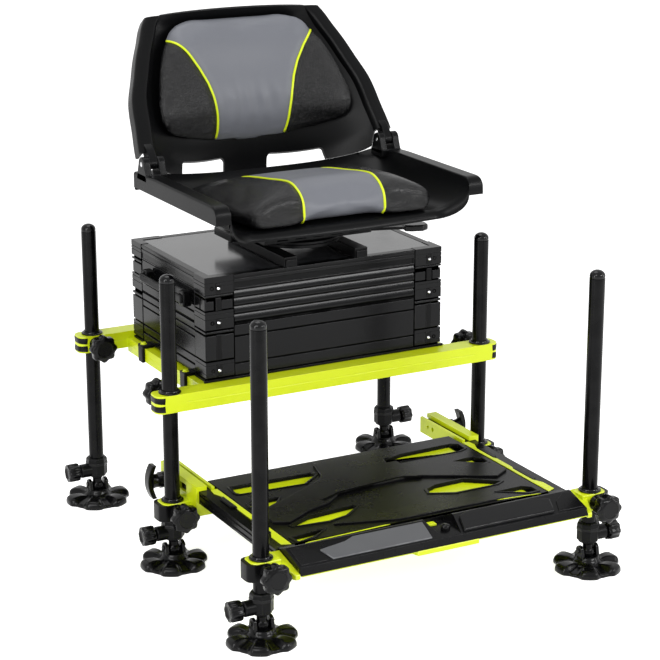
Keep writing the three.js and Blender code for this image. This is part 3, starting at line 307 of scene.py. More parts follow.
def wire(tree, nodes, joins, **made):
    """Add nodes, each (kind, settings, input values) under a short key, and join them by lines of
    "key.output > key.input, key.input", where a socket is a name or a number."""
    socket = lambda sockets, label: sockets[int(label) if label.isdigit() else label]
    for key, (kind, settings, values) in nodes.items():
        made[key] = tree.nodes.new("ShaderNode" + kind)
        for name, value in settings.items():
            setattr(made[key], name, value)
        for label, value in values.items():
            socket(made[key].inputs, label).default_value = value
    for line in joins.strip().splitlines():
        source, targets = line.strip().split(" > ")
        key, label = source.split(".")
        for target in targets.split(", "):
            to, entry = target.split(".")
            tree.links.new(socket(made[key].outputs, label), socket(made[to].inputs, entry))
    return made


def maths(operation, values={}, **settings):
    return "Math", {"operation": operation, **settings}, values


def grouped(group, values):
    return "Group", {"node_tree": group}, values


def effect(name, inputs, outputs, nodes, joins):
    """A node group that gives a height or a colour and a roughness. Its inputs are labels with their
    defaults, where a place has none."""
    group = bpy.data.node_groups.new(name, "ShaderNodeTree")
    for label, value in inputs.items():
        kind = "Vector" if value is None else "Color" if isinstance(value, tuple) else "Float"
        socket = group.interface.new_socket(label, in_out="INPUT", socket_type="NodeSocket" + kind)
        if value is not None:
            socket.default_value = value
    for label in outputs:
        kind = "Color" if label == "Colour" else "Float"
        group.interface.new_socket(label, in_out="OUTPUT", socket_type="NodeSocket" + kind)
    start, end = (group.nodes.new("NodeGroup" + way) for way in ("Input", "Output"))
    wire(group, nodes, joins, start=start, end=end)
    return group


# Height of a moulded skin: fine noise over a coarser one
GRAIN = effect(
    "moulded_grain", {"Place": None, "Scale": 900.0}, ["Height"],
    {
        "fine": ("TexNoise", {}, {"Detail": 3}),
        "coarse": ("TexNoise", {}, {"Detail": 1}),
        "shrink": maths("MULTIPLY", {"1": 0.2}),
        "blend": maths("MULTIPLY_ADD", {"1": 0.5}),
    },
    """
    start.Place > fine.Vector, coarse.Vector
    start.Scale > fine.Scale, shrink.0
    shrink.0 > coarse.Scale
    coarse.Fac > blend.0
    fine.Fac > blend.2
    blend.0 > end.Height
    """,
)
# Height of a grained vinyl: rounded cells with creases between them
PEBBLE = effect(
    "pebble_grain", {"Place": None, "Scale": 620.0}, ["Height"],
    {
        "warp": ("TexNoise", {}, {"Scale": 140}),
        "mix": ("VectorMath", {"operation": "MULTIPLY_ADD"}, {"1": (0.0025, 0.0025, 0.0025)}),
        "cells": ("TexVoronoi", {"feature": "DISTANCE_TO_EDGE"}, {}),
        "ramp": ("MapRange", {"interpolation_type": "SMOOTHSTEP"}, {"From Max": 0.28}),
    },
    """
    start.Place > warp.Vector, mix.2
    warp.Color > mix.0
    mix.0 > cells.Vector
    start.Scale > cells.Scale
    cells.Distance > ramp.Value
    ramp.Result > end.Height
    """,
)
# A colour and a roughness that drift a little over the surface, as dust and handling leave them
HANDLED = effect(
    "handled", {"Place": None, "Colour": (0.1, 0.1, 0.1, 1), "Drift": 0.12, "Roughness": 0.5, "Scale": 14.0},
    ["Colour", "Roughness"],
    {
        "cloud": ("TexNoise", {}, {"Detail": 5, "Roughness": 0.6}),
        "centre": maths("SUBTRACT", {"1": 0.5}),
        "swing": maths("MULTIPLY"),
        "gain": maths("MULTIPLY_ADD", {"1": 2.0, "2": 1.0}),
        "toned": ("VectorMath", {"operation": "SCALE"}, {}),
        "rough": maths("ADD", use_clamp=True),
    },
    """
    start.Place > cloud.Vector
    start.Scale > cloud.Scale
    cloud.Fac > centre.0
    centre.0 > swing.0
    start.Drift > swing.1
    swing.0 > gain.0, rough.1
    start.Colour > toned.0
    gain.0 > toned.Scale
    toned.0 > end.Colour
    start.Roughness > rough.0
    rough.0 > end.Roughness
    """,
)
# Along the edges, in patches, the colour turns to a lighter one and the roughness drops: partly a rubbed coat or
# moulding, partly a painted highlight on the edges
WEAR_AND_HIGHLIGHT = effect(
    "worn_and_highlit_edges",
    {"Place": None, "Colour": (0.1, 0.1, 0.1, 1), "Rubbed": (0.3, 0.3, 0.3, 1), "Roughness": 0.5, "Amount": 0.5},
    ["Colour", "Roughness"],
    {
        "exposed": ("Attribute", {"attribute_name": "wear_and_highlight"}, {}),
        "patches": ("TexNoise", {}, {"Scale": 38, "Detail": 4}),
        "broken": ("MapRange", {"interpolation_type": "SMOOTHSTEP"}, {"From Min": 0.38, "From Max": 0.62}),
        "share": maths("MULTIPLY"),
        "mask": maths("MULTIPLY"),
        "tint": ("Mix", {"data_type": "RGBA"}, {}),
        "polish": maths("MULTIPLY_ADD", {"1": -0.14}, use_clamp=True),
    },
    """
    start.Place > patches.Vector
    patches.Fac > broken.Value
    exposed.Fac > share.0
    broken.Result > share.1
    share.0 > mask.0
    start.Amount > mask.1
    mask.0 > tint.0, polish.0
    start.Colour > tint.6
    start.Rubbed > tint.7
    tint.2 > end.Colour
    start.Roughness > polish.2
    polish.0 > end.Roughness
    """,
)


def surface(name, values, nodes, joins):
    """A material: constants on its own shader, and nodes joined to it."""
    material = bpy.data.materials.new(name)
    material.use_nodes = True
    shader = material.node_tree.nodes["Principled BSDF"]
    for label, value in values.items():
        shader.inputs[label].default_value = value
    wire(material.node_tree, nodes, joins, shader=shader)
    return material


def finish(
    name, colour, roughness, metallic=0.0, grain=900, bump=0.12, drift=0.12, coat=0.0, ior=1.2, rubbed=None, wear_and_highlight_amount=0.6
):
    """A material: one colour and roughness that drift, and at the edges turn to a lighter colour as rubbed wear and a
    painted highlight, over a fine grain.
    """
    # By default the edge colour is a lighter copy of the colour: on the black parts it is a painted highlight along the
    # edges as well as wear.
    rubbed = rubbed or [v * 2.2 + 0.02 for v in colour]
    return surface(
        name, {"Metallic": metallic, "Coat Weight": coat, "Coat Roughness": 0.12, "IOR": ior},
        {
            "place": ("TexCoord", {}, {}),
            "look": grouped(HANDLED, {"Colour": (*colour, 1), "Drift": drift, "Roughness": roughness}),
            "edges": grouped(WEAR_AND_HIGHLIGHT, {"Rubbed": (*rubbed, 1), "Amount": wear_and_highlight_amount}),
            "texture": grouped(GRAIN, {"Scale": grain}),
            "raised": ("Bump", {}, {"Strength": bump, "Distance": 0.5 * MM}),
        },
        """
        place.Object > look.Place, edges.Place, texture.Place
        texture.Height > raised.Height
        raised.Normal > shader.Normal
        look.Colour > edges.Colour
        look.Roughness > edges.Roughness
        edges.Colour > shader.Base Color
        edges.Roughness > shader.Roughness
        """,
    )


PALE_LIME = (0.82, 0.88, 0.18)
BLACK, DEEP_BLACK = (0.003, 0.003, 0.0034), (0.002, 0.002, 0.0023)
lime_coat = finish(
    "lime_coat", (0.66, 0.77, 0.006), 0.36, 0, 420, 0.05, 0.05, coat=0.1, ior=1.42, rubbed=PALE_LIME, wear_and_highlight_amount=0.45
)
anodised = finish("anodised_tube", DEEP_BLACK, 0.18, grain=1500, bump=0.012, drift=0.03, wear_and_highlight_amount=0.12)
gloss_cap = finish("gloss_cap", (0.002, 0.002, 0.0025), 0.10, bump=0.01, coat=0.06, ior=1.3)
moulded = finish("moulded_black", (0.003, 0.0031, 0.0034), 0.32, grain=1100, bump=0.14)
knob_black = finish("knob_black", DEEP_BLACK, 0.22, grain=1000, bump=0.05, ior=1.27)
foot_black = finish("foot_black", DEEP_BLACK, 0.22, grain=700, bump=0.08, ior=1.27)
box_black = finish("box_black", (0.0018, 0.0018, 0.002), 0.2, grain=1200, bump=0.06)
box_panel = finish("box_panel", (0.003, 0.0031, 0.0035), 0.18, grain=1200, bump=0.04, ior=1.24)
lid_panel = finish("lid_panel", (0.03, 0.031, 0.034), 0.2, bump=0.03, coat=0.2, ior=1.45)
deck_black = finish("deck_black", BLACK, 0.28, grain=800, bump=0.14, wear_and_highlight_amount=0.5)
deck_pad = finish("deck_pad", (0.085, 0.087, 0.092), 0.42, grain=800, bump=0.2, ior=1.35)
bright_pin = finish("bright_pin", (0.62, 0.62, 0.63), 0.22, metallic=1.0, bump=0.02, ior=1.5)
piping_lime = finish(
    "piping_lime", (0.66, 0.78, 0.008), 0.4, 0, 800, 0.08, 0.05, ior=1.42, rubbed=PALE_LIME, wear_and_highlight_amount=0.3
)
# Near black and matt: painted shade for the gaps between the box's plates, the latch holes and the deck's groove.
painted_shade_black = finish("painted_shade_black", (0.001, 0.001, 0.001), 0.8, bump=0.05, ior=1.1)

# Two vinyls in one skin: smooth grey where the piece's panel value is positive, grained black elsewhere.
# The value is the distance in from the seam, so the seam is a clean line across the faces.
vinyl = surface(
    "seat_vinyl", {"IOR": 1.38},
    {
        "place": ("TexCoord", {}, {}),
        "panel": ("Attribute", {"attribute_name": "panel"}, {}),
        "mask": maths("GREATER_THAN", {"1": 0.0}),
        "colours": ("Mix", {"data_type": "RGBA"}, {}),
        "roughs": ("Mix", {"data_type": "FLOAT"}, {}),
        "heights": ("Mix", {"data_type": "FLOAT"}, {}),
        "black": grouped(HANDLED, {"Colour": (0.002, 0.002, 0.0024, 1), "Roughness": 0.25, "Drift": 0.03}),
        "grey": grouped(HANDLED, {"Colour": (0.14, 0.146, 0.165, 1), "Roughness": 0.46, "Drift": 0.06}),
        "pebbles": grouped(PEBBLE, {"Scale": 430}),
        "fine": grouped(GRAIN, {"Scale": 1500}),
        "quiet": maths("MULTIPLY", {"1": 0.25}),
        "raised": ("Bump", {}, {"Strength": 0.8, "Distance": 0.5 * MM}),
    },
    """
    panel.Fac > mask.0
    mask.0 > colours.0, roughs.0, heights.0
    place.Object > black.Place, grey.Place, pebbles.Place, fine.Place
    black.Colour > colours.6
    grey.Colour > colours.7
    black.Roughness > roughs.2
    grey.Roughness > roughs.3
    pebbles.Height > heights.2
    fine.Height > quiet.0
    quiet.0 > heights.3
    heights.0 > raised.Height
    raised.Normal > shader.Normal
    colours.2 > shader.Base Color
    roughs.0 > shader.Roughness
    """,
)

# Legs

TUBE_RADIUS, TUBE_FOOT, BORE_RADIUS = 12.5, 62, 12.75
SCREW_HEIGHT = 57


def tube_shape(top):
    neck = [(TUBE_RADIUS, top - 13.5), (TUBE_RADIUS - 0.7, top - 13.4), (0, top - 13.4)]
    return turned([(0, TUBE_FOOT), (TUBE_RADIUS, TUBE_FOOT), *neck], 64)


def cap_shape(top):
    """A dome on a short wall: r = R cos a, z = z0 + h sin a, from the rim to the crown."""
    wall = [(0, top - 13.3), (11.6, top - 13.3), (12.2, top - 12.8)]
    return turned(wall + arc(0, top - 9.5, 12.4, 0, PI / 2, 12, 9.5), 64)


def collar_shape(x, y, top):
    """A flat flange with a lip that hugs the tube."""
    flange = [(12.7, 0), (17.8, 0), (18.2, 0.6), (18.2, 2.0), (17.4, 2.7), (15.4, 3.0)]
    flange += [(15.0, 4.6), (14.4, 5.2), (12.7, 5.2)]
    return moved(turned(flange, closed=True), (x, y, top))


def eight_sided(rows):
    """Rows of (radius to the corners, height) on an eight-sided outline."""
    t = (np.arange(8) + 0.5) * PI / 4
    rings = [np.column_stack([r * np.cos(t), r * np.sin(t), np.full(8, z)]) for r, z in rows]
    return grid(np.array(rings), close_columns=True)


def socket_shape():
    """An eight-sided sleeve with chamfered ends, a plain skirt below it and a boss to one side."""
    skirt = turned([(0, 46), (15.0, 46), (15.6, 47), (15.6, 50)])
    sleeve = eight_sided([(14.8, 48), (18.3, 49.5), (18.5, 51), (18.5, 76), (17.6, 78.6), (16.2, 80), (12.9, 80)])
    boss = turned([(0, 10), (12, 10), (12, 29.5), (11, 31), (10.5, 31.6), (0, 31.6)], 40)
    return joined([skirt, sleeve, facing(boss, (1, 0, 0), (0, 0, SCREW_HEIGHT))])


def small_knob_shape():
    """Eight lobes on a short drum, dished on its outer face."""
    profile = [
        (0, 52.8, 0), (8.5, 53.0, 0), (9.8, 54.3, 0.2), (12.8, 55.0, 0.6), (15.2, 54.4, 1), (16.4, 52.6, 1),
        (16.5, 38.5, 1), (15.6, 35.2, 1), (12.2, 33.6, 0.5), (9.5, 33.1, 0), (7.5, 32.3, 0), (0, 32.0, 0),
    ]
    return facing(turned(profile, 96, 8, 0.1), (1, 0, 0), (0, 0, SCREW_HEIGHT))


def rod_shape():
    """The inner leg: a rod, a neck, and a ball whose rows are r = R cos a, z = R sin a."""
    ball = arc(0, 27, 11, -PI / 2, math.acos(8 / 11), 16)
    return turned([*ball, (7.9, 36.5), (7.9, 41), (10.0, 43.2), (10.2, 45), (10.2, 120), (0, 120)])


def sole_shape():
    """A round sole with six petals: its top at radius r and angle t is
    low(r) + petal(r) s(cos 6t), where s steps smoothly from 0 to 1, and its rim follows the petals."""
    r = np.array([0, 17, 18.5, 19.2, 21, 24, 29, 34, 40, 46, 50, 53, 55.2, 56, 56, 55.4, 0])[:, None]
    low = np.array([22, 22, 21.4, 17, 14.4, 10.6, 9.4, 8.6, 7.6, 6.6, 6.0, 5.4, 4.6, 3.4, 1.0, 0, 0])[:, None]
    petal = np.array([0, 0, 0, 0, 0, 1.6, 4.6, 6.4, 7.4, 7.8, 7.4, 6.2, 3.8, 1.2, 0, 0, 0])[:, None]
    t = np.linspace(0, 2 * PI, 144, endpoint=False)
    step = np.clip((np.cos(6 * t) + 0.8) / 1.25, 0, 1)
    step = step * step * (3 - 2 * step)
    radius = r * (1 - 0.1 * (1 - step) * np.clip((r - 34) / 22, 0, 1))
    return grid(np.stack([radius * np.cos(t), radius * np.sin(t), low + petal * step], -1), False, True)


def cheek_shape():
    """Two rounded cheeks that hold the ball."""
    outline = [(10.5, 14), (10.5, 20), *arc(0, 31.6, 8.2, 0, PI, 17), (-10.5, 20), (-10.5, 14)]
    return joined([prism(outline, s * 11.6, s * 17.4, "x") for s in BOTH])


def bolt_shape(radius, height, at, direction, sides=6):
    """A low head on a thin washer."""
    head = turned([(0, 0), (radius, 0), (radius, height * 0.75), (radius * 0.88, height), (0, height)], sides)
    return facing(joined([head, post(radius * 1.35, -0.2, 0.6, 24)]), direction, at)


def clamp_shape():
    """A clamp knob: an eight-lobed head with a round plate on its face, a waist and a flange."""
    profile = [
        (0, 59.2, 0), (12.8, 59.2, 0), (13.4, 60, 0), (15.4, 60, 0), (16.6, 59.0, 0), (19.0, 58.6, 0.5),
        (22.2, 57.4, 1), (23.7, 55.4, 1), (24.0, 53.0, 1), (23.8, 45.0, 1), (22.4, 41.0, 1), (19.4, 38.9, 0.8),
        (15.2, 38.2, 0), (12.4, 37.6, 0), (11.4, 35.5, 0), (11.0, 24.0, 0), (12.6, 21.0, 0), (12.6, 18.4, 0),
        (0, 18.4, 0),
    ]
    return turned(profile, 128, 8, 0.13)


def clamp(name, body, node, at, way):
    piece(name, facing(clamp_shape(), (0, way, 0), at), knob_black, body, node, sharp=50)


for name, side, x, y, top, _, _ in LEGS:
    turn = lambda shape: (shape[0] * (side, side, 1) + (side * x, y, 0), shape[1])
    leg, foot = "leg_" + name, "foot_" + name
    waist = eight_sided([(13, 66), (18.9, 66.2), (19.2, 67), (19.2, 71), (18.9, 71.8), (13, 72)])
    piece("tube_" + name, turn(tube_shape(top)), anodised, leg, "leg_tube_" + name)
    piece("cap_" + name, turn(cap_shape(top)), gloss_cap, leg)
    piece("socket_" + name, turn(socket_shape()), moulded, leg, "foot_socket_" + name, bevel=0.5, sharp=25)
    piece("socket_band_" + name, turn(waist), knob_black, leg, bevel=0.3, sharp=25)
    piece("screw_" + name, turn(small_knob_shape()), knob_black, "foot_screw_" + name, "foot_knob_" + name, sharp=50)
    piece("rod_" + name, turn(rod_shape()), anodised, "inner_" + name, "inner_leg_" + name)
    piece("sole_" + name, turn(sole_shape()), foot_black, foot, foot, sharp=60)
    piece("cheeks_" + name, turn(cheek_shape()), foot_black, foot, bevel=1.2)
    for s, end in ((-1, "in"), (1, "out")):
        head = bolt_shape(4.2, 2.4, (s * 17.4, 0, 31), (s, 0, 0))
        piece(f"cheek_bolt_{end}_{name}", turn(head), knob_black, foot, bevel=0.25)
for name, side, x, y, _, z, way in LEGS:
    clamp(f"clamp_{name}_head", "clamp_" + name, "clamp_knob_" + name, (side * x, y, z), way)
for word, s in SIDES:
    clamp("bracket_clamp_head_" + word, "bracket_clamp_" + word, "bracket_knob_" + word, (s * LEG_X, 0, 96), -1)

# Rails

RAIL_HALF, RAIL_HIGH, RAIL_END = 18, 29, 318


def bar_outline(x0, x1, corner, rounded=False):
    """A rail seen from above, with round corners at its far end and, where rounded, at its near end."""
    high = RAIL_HALF - corner
    near = [(x0, RAIL_HALF), (x0, -RAIL_HALF)]
    if rounded:
        near = arc(x0 + corner, high, corner, PI / 2, PI, 9) + arc(x0 + corner, -high, corner, PI, 1.5 * PI, 9)
    return near + arc(x1 - corner, -high, corner, 1.5 * PI, 2 * PI, 9) + arc(x1 - corner, high, corner, 0, PI / 2, 9)


def rail_plug(s, y, bottom, top):
    """A band round the end of a rail, a little proud of it and hollowed along its middle."""
    t = np.linspace(-PI / 2, PI / 2, 25)
    z = np.array([bottom + 2.2, bottom + 2.8, bottom + 9, bottom + 14.5, bottom + 20, top - 2.8, top - 2.2])
    proud = np.array([-2.5, 0.9, 0.6, -0.2, 0.6, 0.9, -2.5])[:, None]
    far = np.clip(np.abs(np.sin(t)) * RAIL_HALF - 5, 0, 13)
    reach = 305 + np.sqrt(np.maximum(169 - far**2, 0)) - 0.15
    x = s * (reach + proud * np.cos(t))
    out = np.sin(t) * RAIL_HALF + proud * np.sin(t) * 0.9
    z = np.broadcast_to(z[:, None], x.shape)
    return sheet_solid(np.stack([x, y + out, z], -1), np.stack([x - s * 3, y + out * 0.84, z], -1))


def cross_rail(name, y, top, node):
    """A rounded bar with a groove down each face, a bore at each leg, a plug in each end and collars on top."""
    bottom = top - RAIL_HIGH
    outline = [(a, b + y) for a, b in bar_outline(-RAIL_END, RAIL_END, 13, True)]
    cuts = [slab((-268, 268), sorted((y + s * 17.4, y + s * 19)), (top - 14.9, top - 13.7)) for s in BOTH]
    cuts += [moved(post(BORE_RADIUS, bottom - 2, top + 2, 48), (s * LEG_X, y, 0)) for s in BOTH]
    piece(name, prism(outline, bottom, top), lime_coat, "frame", node, bevel=1.6, segments=3, cutters=cuts)
    for word, s in SIDES:
        piece(f"{name}_collar_{word}", collar_shape(s * LEG_X, y, top), gloss_cap, "frame")
        piece(f"{name}_plug_{word}", rail_plug(s, y, bottom, top), moulded, "frame", sharp=40)


def leg_clamp(name, prefix, word, s, x0, x, y, bottom, past, body):
    """A lime clamp round a leg: a bar with a rounded end, a dark plug that caps it and reaches back along its
    front as far as the leg, and a collar on top. The bore's cutter goes past the bar by a margin."""
    top = bottom + RAIL_HIGH
    place = lambda outline: [(s * a, b + y) for a, b in outline]
    bore = moved(post(BORE_RADIUS, bottom - past, top + past, 48), (s * x, y, 0))
    arm = prism(place(bar_outline(x0, x + 22, 11)), bottom, top)
    piece(name + word, arm, lime_coat, body, bevel=1.6, segments=3, cutters=[bore])
    t = np.linspace(-PI / 2, PI / 2, 17)
    outer = [(x + 16 + 13 * math.cos(a), 6.2 * np.sign(a) + 13 * math.sin(a)) for a in t]
    inner = [(x + 10 + 10.5 * math.cos(a), 7.4 * np.sign(a) + 10.5 * math.sin(a)) for a in t[::-1]]
    outline = [(x - 1, -19.2), *outer, (x + 12, 19.2), (x + 12, 17.9), *inner, (x - 1, -17.9)]
    plug = prism(place(outline), bottom + 0.4, top - 1.6)
    piece(f"{prefix}_plug_{word}", plug, moulded, body, bevel=1.1, segments=3)
    piece(f"{prefix}_collar_{word}", collar_shape(s * x, y, top), gloss_cap, body)


cross_rail("front_bar", 0, 292.5, "front_rail")
cross_rail("rear_bar", REAR_LEG_Y, 304.5, "rear_frame")
for word, s in SIDES:
    shape = slab((202, 230), (18.4, 311.5), (268.5, 292.5), s)
    groove = slab((229.4, 231), (20, 309), (281, 282.2), s)
    piece("side_bar_" + word, shape, lime_coat, "frame", bevel=1.6, segments=3, cutters=[groove])

# Tackle box: each tier has walls set back between four corner castings, with plates on its walls

BOX_X, BOX_FRONT, BOX_REAR = 219, 13.7, 309.7
CASTING_X, CASTING_Y, PLATE_X = 168.5, 41, 166.6
BETWEEN_Y = (BOX_FRONT + CASTING_Y + 1.4, BOX_REAR - CASTING_Y - 1.4)
WALL = 3


def inside_box(inset, z):
    """A block set in from the box's faces."""
    return slab((inset - BOX_X, BOX_X - inset), (BOX_FRONT + inset, BOX_REAR - inset), z)


def castings(low, high, rear_low, inset=0.0):
    """One block at each corner from low to high, the rear ones from rear_low, set in from the outer faces."""
    near, far = (BOX_FRONT + inset, BOX_FRONT + CASTING_Y), (BOX_REAR - CASTING_Y, BOX_REAR - inset)
    return [slab((CASTING_X, BOX_X - inset), y, (z, high), s) for y, z in ((near, low), (far, rear_low)) for s in BOTH]


def scored(z):
    """Cutters for a thin line round the castings at a height."""
    x, y0, y1, z = BOX_X + 3, BOX_FRONT - 3, BOX_REAR + 3, (z, z + 1)
    bars = [slab((-x, x), (y0, BOX_FRONT + 0.8), z), slab((-x, x), (BOX_REAR - 0.8, y1), z)]
    return bars + slabs((BOX_X - 0.8, x), (y0, y1), z)


def end_plates(z, outer, inner):
    """Plates on the front and the rear, from outer to inner behind the box's faces."""
    front, rear = (BOX_FRONT + outer, BOX_FRONT + inner), (BOX_REAR - inner, BOX_REAR - outer)
    return [slab((-PLATE_X, PLATE_X), y, z) for y in (front, rear)]


def side_plates(z, outer, inner):
    return slabs((BOX_X - inner, BOX_X - outer), BETWEEN_Y, z)


def tier(name, body, node, z0, z1, blocks, front, side):
    """blocks are (low, high, heights of the lines scored round it), front and side plates are (low, high, proud)."""
    hollow = inside_box(WALL + 2.6, (z0 + 3, z1 + 1))
    # The walls show in the gaps between the plates; their near-black matt finish is painted shade in those gaps.
    piece(name + "_walls", inside_box(WALL, (z0, z1)), painted_shade_black, body, node, bevel=0.6, cutters=[hollow])
    plates = [p for low, high, proud in front for p in end_plates((low, high), WALL - proud, WALL + 0.5)]
    plates += [p for low, high, proud in side for p in side_plates((low, high), WALL - proud, WALL + 0.5)]
    piece(name + "_plates", joined(plates), box_panel, body, bevel=0.7, segments=3)
    piece(name + "_castings", joined(castings(z0, z1, z0, 3.0)), box_black, body, bevel=1.0, cutters=[hollow])
    skirt = inside_box(1.3, (z0 - 9, z0))
    for k, (low, high, lines) in enumerate(blocks):
        shape = joined(castings(low, high, max(low, z0)))
        cuts = [hollow, skirt] + [bar for z in lines for bar in scored(z)]
        piece(f"{name}_block_{k}", shape, box_panel, body, bevel=1.1, segments=3, cutters=cuts)


tier(
    "deep", "frame", "box_base", 296, 384,
    blocks=[(300, 326, (306, 320)), (328.4, 370, ()), (373, 377, ())],
    front=[(298.5, 317, 1.9), (319.5, 362.5, 2.2), (365, 382.5, 1.9)],
    side=[(298.5, 311, 2.4), (314, 325, 1.9), (328, 358, 2.2), (360.5, 370, 1.9), (373, 382.5, 2.4)],
)
tier(
    "tray", "tray", "tray_unit", 384.3, 441,
    blocks=[(380, 410, (397, 405)), (433.5, 437, ())], front=[], side=[(387, 400, 2.4), (402.5, 440, 1.6)],
)

# The tray's front and rear are corrugated: four broad ridges, each steep below and sloping above
wave = [(0.6, 386)]
for low in (386.4, 399.9, 413.4, 426.9):
    wave += [(0, low), (-2.3, low + 2.6), (-2.5, low + 6.4), (-0.4, low + 12.4)]
wave.append((0.6, 440.4))
for end, base, way in (("front", BOX_FRONT + WALL, 1), ("rear", BOX_REAR - WALL, -1)):
    outline = [(base + way * a, z) for a, z in wave]
    piece("tray_ridges_" + end, prism(outline, -PLATE_X, PLATE_X, "x"), box_panel, "tray", bevel=0.5)

# Flat squares on the tray's castings, either side of the straps
for word, s in SIDES:
    squares = [slab(x, (BOX_FRONT + 1.2, BOX_FRONT + 4), (412, 427), s) for x in ((202.6, 218.4), (169.5, 189))]
    for y in ((BOX_FRONT + 2, BOX_FRONT + 18), (BOX_FRONT + 22, BOX_FRONT + 39), (BOX_REAR - 39, BOX_REAR - 3)):
        squares.append(slab((215, 218.4), y, (412, 430), s))
    piece("tray_squares_" + word, joined(squares), box_panel, "tray", bevel=0.7, segments=3)

# The lid: a frame with a grey panel set into it, and blocks over the corner castings
LID_LOW = 441.3
cuts = [slab((-205, 205), (BOX_FRONT + 15, BOX_REAR - 15), (465.2, 469))]
cuts.append(slab((-213, 213), (BOX_FRONT + 5, BOX_REAR - 5), (436, 460)))
shadow_gap = slab((-166, 166), (BOX_FRONT - 1, BOX_FRONT + 4), (443.5, 453))
lid_frame = inside_box(1.6, (LID_LOW, 466.4))
piece("lid_frame", lid_frame, box_black, "lid", "box_lid", bevel=1.3, segments=3, cutters=[*cuts, shadow_gap])
cuts += [inside_box(1.3, (430, LID_LOW)), *scored(457), *scored(451)]
piece("lid_block", joined(castings(438, 467, LID_LOW)), box_panel, "lid", bevel=1.3, segments=3, cutters=cuts)
bars = []
for low, high, proud in ((454, 459, 0.4), (461.6, 466, 0.4), (441.6, 443.6, 0)):
    bars += end_plates((low, high), 1 - proud, WALL) + side_plates((low, high), 1 - proud, WALL)
piece("lid_bars", joined(bars), box_panel, "lid", bevel=0.6)
sheet = slab((-204.4, 204.4), (BOX_FRONT + 15.6, BOX_REAR - 15.6), (462, 466.0))
piece("lid_panel_sheet", sheet, lid_panel, "lid", bevel=0.5)


def latch(name, body, z0, z1, pin=None):
    """A strap down the front of each casting with rounded edges, and a bright pin beside a near-black ring painted as
    the shade of a hole.
    """
    for word, s in SIDES:
        x = s * 195
        strap = slab((x - 5, x + 5), (BOX_FRONT - 0.9, BOX_FRONT + 4), (z0, z1))
        piece(f"{name}_strap_{word}", strap, box_black, body, bevel=0.9, segments=3)
        if pin is not None:
            head = turned([(0, 0), (2.6, 0), (2.6, 1.0), (1.7, 2.0), (0, 2.2)], 24)
            piece(f"{name}_pin_{word}", facing(head, (0, -1, 0), (x, BOX_FRONT - 0.8, pin)), bright_pin, body)
            # The hole is not cut: a flat near-black ring stands in for it, as painted shade.
            hole = turned([(1.9, 0), (3.4, 0), (3.4, 0.7), (1.9, 0.5)], 24, closed=True)
            at = (x + s * 11, BOX_FRONT + 0.1, pin)
            piece(f"{name}_hole_{word}", facing(hole, (0, -1, 0), at), painted_shade_black, body)


latch("lid_latch", "lid", 440, 456, 448)
latch("tray_latch", "tray", 411, 432.5)
latch("tray_hook", "tray", 382, 397, 391)
latch("deep_latch", "frame", 328.5, 371)
latch("deep_hook", "frame", 301, 321, 311)

# Pads and sill that the box stands on, and the clamps that hold it to the side bars
sill = [slab((-222, 224), (12.5, 17.6), (292.8, 296.6))]
sill += [slab((202, 219), y, (292.8, 296.6), s) for s in BOTH for y in ((20, 58), (270, 309))]
piece("box_sill", joined(sill), moulded, "frame", bevel=0.6)
for word, s in SIDES:
    for end, y in (("rear", 244), ("front", 71)):
        arm = [slab((216, 236), (y - 10, y + 10), (293, 299), s), slab((230.4, 236), (y - 9, y + 9), (268, 296), s)]
        piece(f"box_clamp_{end}_{word}", joined(arm), moulded, "frame", bevel=1.6, segments=3)
        bolt = bolt_shape(4.4, 3.2, (s * 229, y, 299), (0, 0, 1), 20)
        piece(f"box_clamp_bolt_{end}_{word}", bolt, lime_coat, "frame", bevel=0.3)

# Carry handles: a flat bar bowed out over two mounts
for word, s in SIDES:
    bar = slab((233.4, 240), (63, 230), (415.6, 428.4), s)
    piece("handle_bar_" + word, bar, moulded, "tray", "carry_handle_" + word, bevel=2.2, segments=4)
    mounts = [slab((219.4, 235), (y, y + 18), (409.4, 434.6), s) for y in (62.4, 211.8)]
    piece("handle_mounts_" + word, joined(mounts), box_black, "tray", bevel=2.4, segments=4)

# Swivel

SWIVEL_AXIS = (0, 120, 0)
runners = [*slabs((53, 77), (14, 226), (467.4, 483.3)), slab((-60, 60), (96, 144), (477.4, 483.2))]
disc = turned([(0, 483.4), (71, 483.4), (72, 484.2), (72, 488.4), (71, 489.2), (0, 489.2)], 96)
piece("runners", joined(runners), moulded, "lid", "seat_base", bevel=1.2)
piece("fixed_disc", moved(disc, SWIVEL_AXIS), moulded, "lid")
piece("runner_tabs", joined(slabs((55, 75), (10.5, 15), (467.4, 479))), moulded, "lid", bevel=1.0)
plate = turned([(0, 489.6), (71, 489.6), (72, 490.2), (72, 493.4), (71, 494), (0, 494)], 96)
piece("turning_disc", moved(plate, SWIVEL_AXIS), moulded, "seat", "swivel_plate")
piece("cross_plate", slab((-120, 120), (122, 188), (489.8, 503)), moulded, "seat", bevel=1.6, segments=3)
cradle = prism([(-100, 499.4), (-84, 540.6), (84, 540.6), (100, 499.4)], 40, 200, "y")
cuts = [slab((x - 9, x + 9), (38, 62), (505, 536)) for x in (-66, -33, 0, 33, 66)]
piece("cradle", cradle, moulded, "seat", bevel=2.0, segments=3, cutters=cuts)

# The lever's outlines are drawn along it, as half of each, and turned to point from its pivot to its tip
pivot, tip = np.array((56, 90)), np.array((208, 46))
length = math.hypot(*(tip - pivot))
c, s = (tip - pivot) / length


def lever_outline(half):
    whole = half + [(a, -b) for a, b in half[::-1]]
    return np.array(whole) @ np.array([[c, s], [-s, c]]) + pivot


